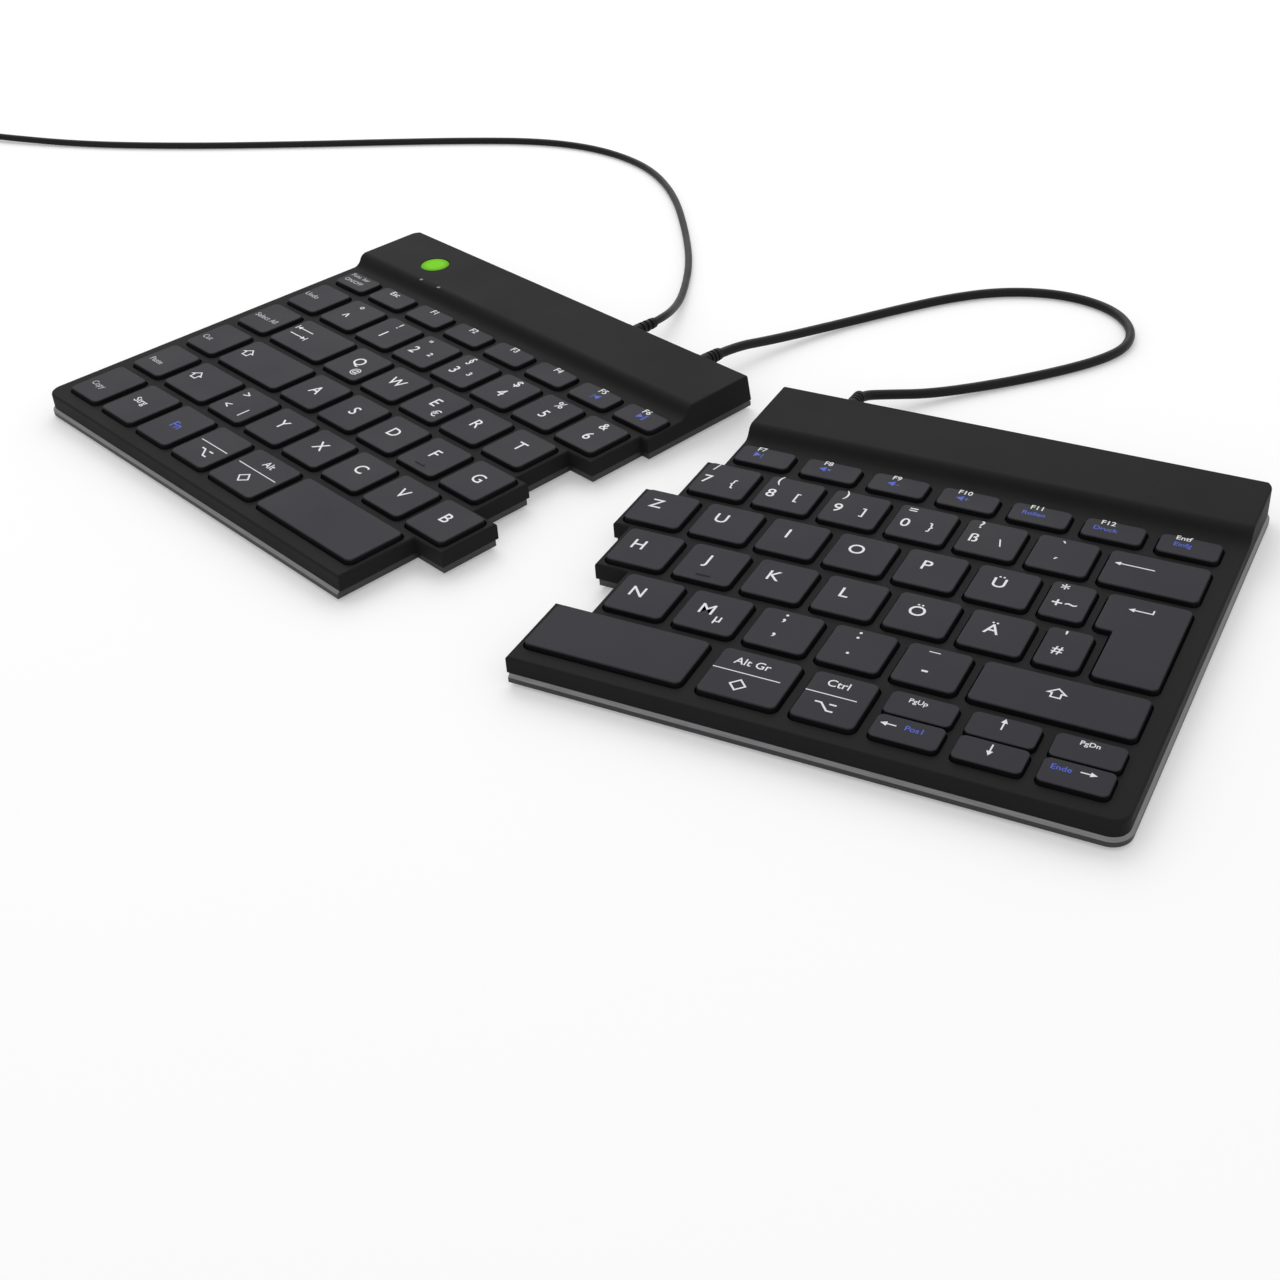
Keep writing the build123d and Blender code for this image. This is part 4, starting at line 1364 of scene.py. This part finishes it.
    def right_legends(self) -> dict[str, list[Cap]]:
        """What is printed on the right half.

        Returns:
            Keys of each node.
        """
        numbers = []
        for digit, sign, third, x in (("7", "/", "{", -5.1), ("8", "(", "[", -4.95),
                                      ("9", ")", "]", -4.5), ("0", "=", "}", -4.4),
                                      ("ß", "?", "\\", -4.4)):
            numbers.append((Mark(digit, x, -0.7, DIGIT), Mark(sign, x, 5.8, SIGN),
                            Mark(third, 2.6, -0.7, SIGN)))
        numbers.append((Mark("´", -1.25, -1.9, DIGIT), Mark("`", -1.3, 6.0, DIGIT)))
        upper = self.letters("ZUIOPÜ", 6.5, Row.UPPER, (-2.5, 1.6), 0.23)
        upper.append(Row.UPPER.key(12.875, Mark("+", -2.3, -1.4, DIGIT),
                                   Mark("*", -2.3, 5.8, 3.6), Mark("~", 1.15, -1.25, DIGIT)))
        home = self.letters("H", 6.75, Row.HOME, (-2.5, 1.1))
        home += self.letters("KLÖÄ", 8.75, Row.HOME, (-2.1, 1.4), 0.23)
        home.append(Row.HOME.key(13.125, Mark("#", -1.2, -1.35, SIGN),
                                 Mark("'", -1.1, 6.3, 3.6)))
        lower = self.letters("NM", 7.25, Row.LOWER, (-2.4, 0.9), 0.4,
                             M=Mark("µ", 2.25, -2.6, SIGN))
        lower += self.signs([
            (Mark(",", -1.65, -2.6, 4.2), Mark(";", -1.6, 4.6, 4.0)),
            (Mark(".", -1.4, -2.5, 4.2), Mark(":", -1.35, 5.1, 4.0)),
            (Mark("-", -1.05, -2.1, 4.2), drawn(divider(-1.4, 1.4), -1.25, 5.6)),
        ], 9.25, Row.LOWER)
        functions = []
        icons = ("▶|", "◀×", "◀–", "◀+", "Rollen", "Druck")
        for i, (icon, x) in enumerate(zip(icons, (145.2, 165.3, 185.4, 205.0, 224.8, 244.2))):
            functions.append(on_half(Mark(f"F{i + 7}", x, 95.05, 1.85),
                                     Mark(icon, x, 92.0, SMALL, Ink.BLUE)))
        return {
            "page_up_key": [on_half(Mark("PgUp", 225.15, 5.0, 1.5))],
            "up_arrow_key": [on_half(drawn(arrow(4.1, 90.0), 245.45, 5.2))],
            "page_down_key": [on_half(Mark("PgDn", 265.4, 5.6, 1.5))],
            "left_arrow_key": [on_half(drawn(arrow(3.9, 180.0), 221.5, -4.75),
                                       Mark("Pos1", 227.65, -4.6, SMALL, Ink.BLUE))],
            "down_arrow_key": [on_half(drawn(arrow(4.0, 270.0), 245.6, -4.5))],
            "right_arrow_key": [on_half(Mark("Ende", 261.85, -4.3, SMALL, Ink.BLUE),
                                        drawn(arrow(3.85, 0.0), 267.95, -4.0))],
            "right_function_keys": functions,
            "delete_key": [on_half(Mark("Entf", 264.0, 95.3, 1.75),
                                   Mark("Einfg", 264.3, 92.0, SMALL, Ink.BLUE))],
            "right_number_keys": self.signs(numbers, 7, Row.NUMBER),
            "backspace_key": [Row.NUMBER.key(13.75, drawn(arrow(10.3, 180.0), -5.6, 2.0))],
            "right_upper_letter_keys": upper,
            "enter_key": [on_half(drawn(ENTER_SIGN, 262.2, 60.2))],
            "right_home_letter_keys": home,
            "j_homing_key": self.letters("J", 7.75, Row.HOME, (-1.9, 1.05)),
            "right_lower_letter_keys": lower,
            "right_shift_key": [Row.LOWER.key(13.375, drawn(SHIFT_SIGN, -1.05, 1.6))],
            "alt_gr_key": [Row.FRONT.key(9.755, Mark("Alt Gr", -1.3, 4.9, WORD),
                                         drawn(divider(-9.9, 7.5), 0.0, 0.75),
                                         drawn(DIAMOND_SIGN, -1.35, -3.8))],
            "right_control_key": [Row.FRONT.key(10.89, Mark("Ctrl", -1.1, 5.4, WORD),
                                                drawn(divider(-7.7, 5.05), 0.0, 1.05),
                                                drawn(OPTION_SIGN, -1.3, -3.4))],
        }


# Studio


@dataclass(frozen=True)
class PhotoCamera:
    """The camera of the photograph, solved from both halves' decks and bars."""

    azimuth: float = 35.8893
    elevation: float = 36.3518
    roll: float = -2.0622
    distance: float = 0.4462627
    target: Triple = (0.0717969, -0.0501736, 0.0093)
    lens: float = 52.1323
    sensor: float = 36.0
    shift: float = -0.075

    def build(self) -> None:
        """Makes the camera and looks through it."""
        turn, rise = math.radians(self.azimuth), math.radians(self.elevation)
        tilt = math.radians(self.roll)
        back = Vector((math.sin(turn) * math.cos(rise), -math.cos(turn) * math.cos(rise),
                       math.sin(rise)))
        level = Vector((math.cos(turn), math.sin(turn), 0.0))
        upright = back.cross(level)
        right = level * math.cos(tilt) + upright * math.sin(tilt)
        up = upright * math.cos(tilt) - level * math.sin(tilt)
        data = bpy.data.cameras.new("photo_camera")
        data.lens = self.lens
        data.sensor_width = self.sensor
        data.sensor_fit = "HORIZONTAL"
        data.shift_x = self.shift
        data.clip_start = 0.01
        camera = add_object("photo_camera", data)
        place_in = Matrix((right, up, back)).transposed().to_4x4()
        place_in.translation = Vector(self.target) + back * self.distance
        camera.matrix_world = place_in
        bpy.context.scene.camera = camera


@dataclass(frozen=True)
class Studio:
    """Pale floor, even sky and one large soft lamp."""

    floor_size: float = 30.0
    floor_drop: float = 0.05
    floor_colour: float = 0.8
    floor_lift: float = 0.24
    sky: float = 0.72
    lamp_power: float = 11.0
    lamp_size: float = 1.5
    lamp_place: Triple = (-0.75, 0.85, 1.25)

    def build(self) -> None:
        """Sets up the view, the floor and the lights."""
        bpy.context.scene.view_settings.view_transform = "Standard"
        self.floor()
        self.world()
        self.lamp()

    def plain_rays(self, sheet: NodeSheet) -> Socket:
        """Whether a ray comes from the camera or a mirror-like surface.

        Args:
            sheet: Where the nodes are added.

        Returns:
            1 for such rays and 0 for the others.
        """
        path = sheet.add("LightPath")
        total = path.outputs["Is Camera Ray"]
        for name in ("Is Glossy Ray", "Is Transmission Ray"):
            larger = sheet.add("Math", operation="MAXIMUM")
            sheet.link(total, larger.inputs[0])
            sheet.link(path.outputs[name], larger.inputs[1])
            total = larger.outputs[0]
        return total

    def floor(self) -> None:
        """A white floor that keeps the object's shadow."""
        bpy.ops.object.select_all(action="DESELECT")
        below = (0.0, 0.0, -self.floor_drop * MM)
        bpy.ops.mesh.primitive_plane_add(size=self.floor_size, location=below)
        floor = bpy.context.object
        floor.name = "studio_floor"
        material = bpy.data.materials.new("studio_floor")
        sheet = NodeSheet(material)
        fill(sheet.shader, {"Base Color": (*[self.floor_colour] * 3, 1.0), "Roughness": 0.9,
                            "Specular IOR Level": 0.0, "Emission Color": WHITE})
        lift = fill(sheet.add("Math", operation="MULTIPLY"), {1: self.floor_lift})
        sheet.link(self.plain_rays(sheet), lift.inputs[0])
        sheet.link(lift.outputs[0], sheet.shader.inputs["Emission Strength"])
        floor.data.materials.append(material)

    def world(self) -> None:
        """An even sky, white where it is seen."""
        world = bpy.data.worlds.new("studio_sky")
        bpy.context.scene.world = world
        sheet = NodeSheet(world, "Background")
        strength = sheet.spread(self.plain_rays(sheet), self.sky, 1.0, start=0.0, end=1.0)
        sheet.link(strength, sheet.shader.inputs["Strength"])
        fill(sheet.shader, {"Color": WHITE})

    def lamp(self) -> None:
        """A large soft lamp behind the left half."""
        data = bpy.data.lights.new("soft_lamp", "AREA")
        data.energy = self.lamp_power
        data.size = self.lamp_size
        lamp = add_object("soft_lamp", data)
        lamp.location = self.lamp_place
        lamp.rotation_euler = (-Vector(self.lamp_place)).to_track_quat("-Z", "Y").to_euler()


def main() -> None:
    """Builds the camera and the cables first, then casing, keys and studio."""
    logging.basicConfig(level=logging.INFO, format="%(name)s: %(message)s")
    PhotoCamera().build()
    Cabling().build()
    Casing().build()
    Keyboard().build()
    Studio().build()


if __name__ == "__main__":
    main()
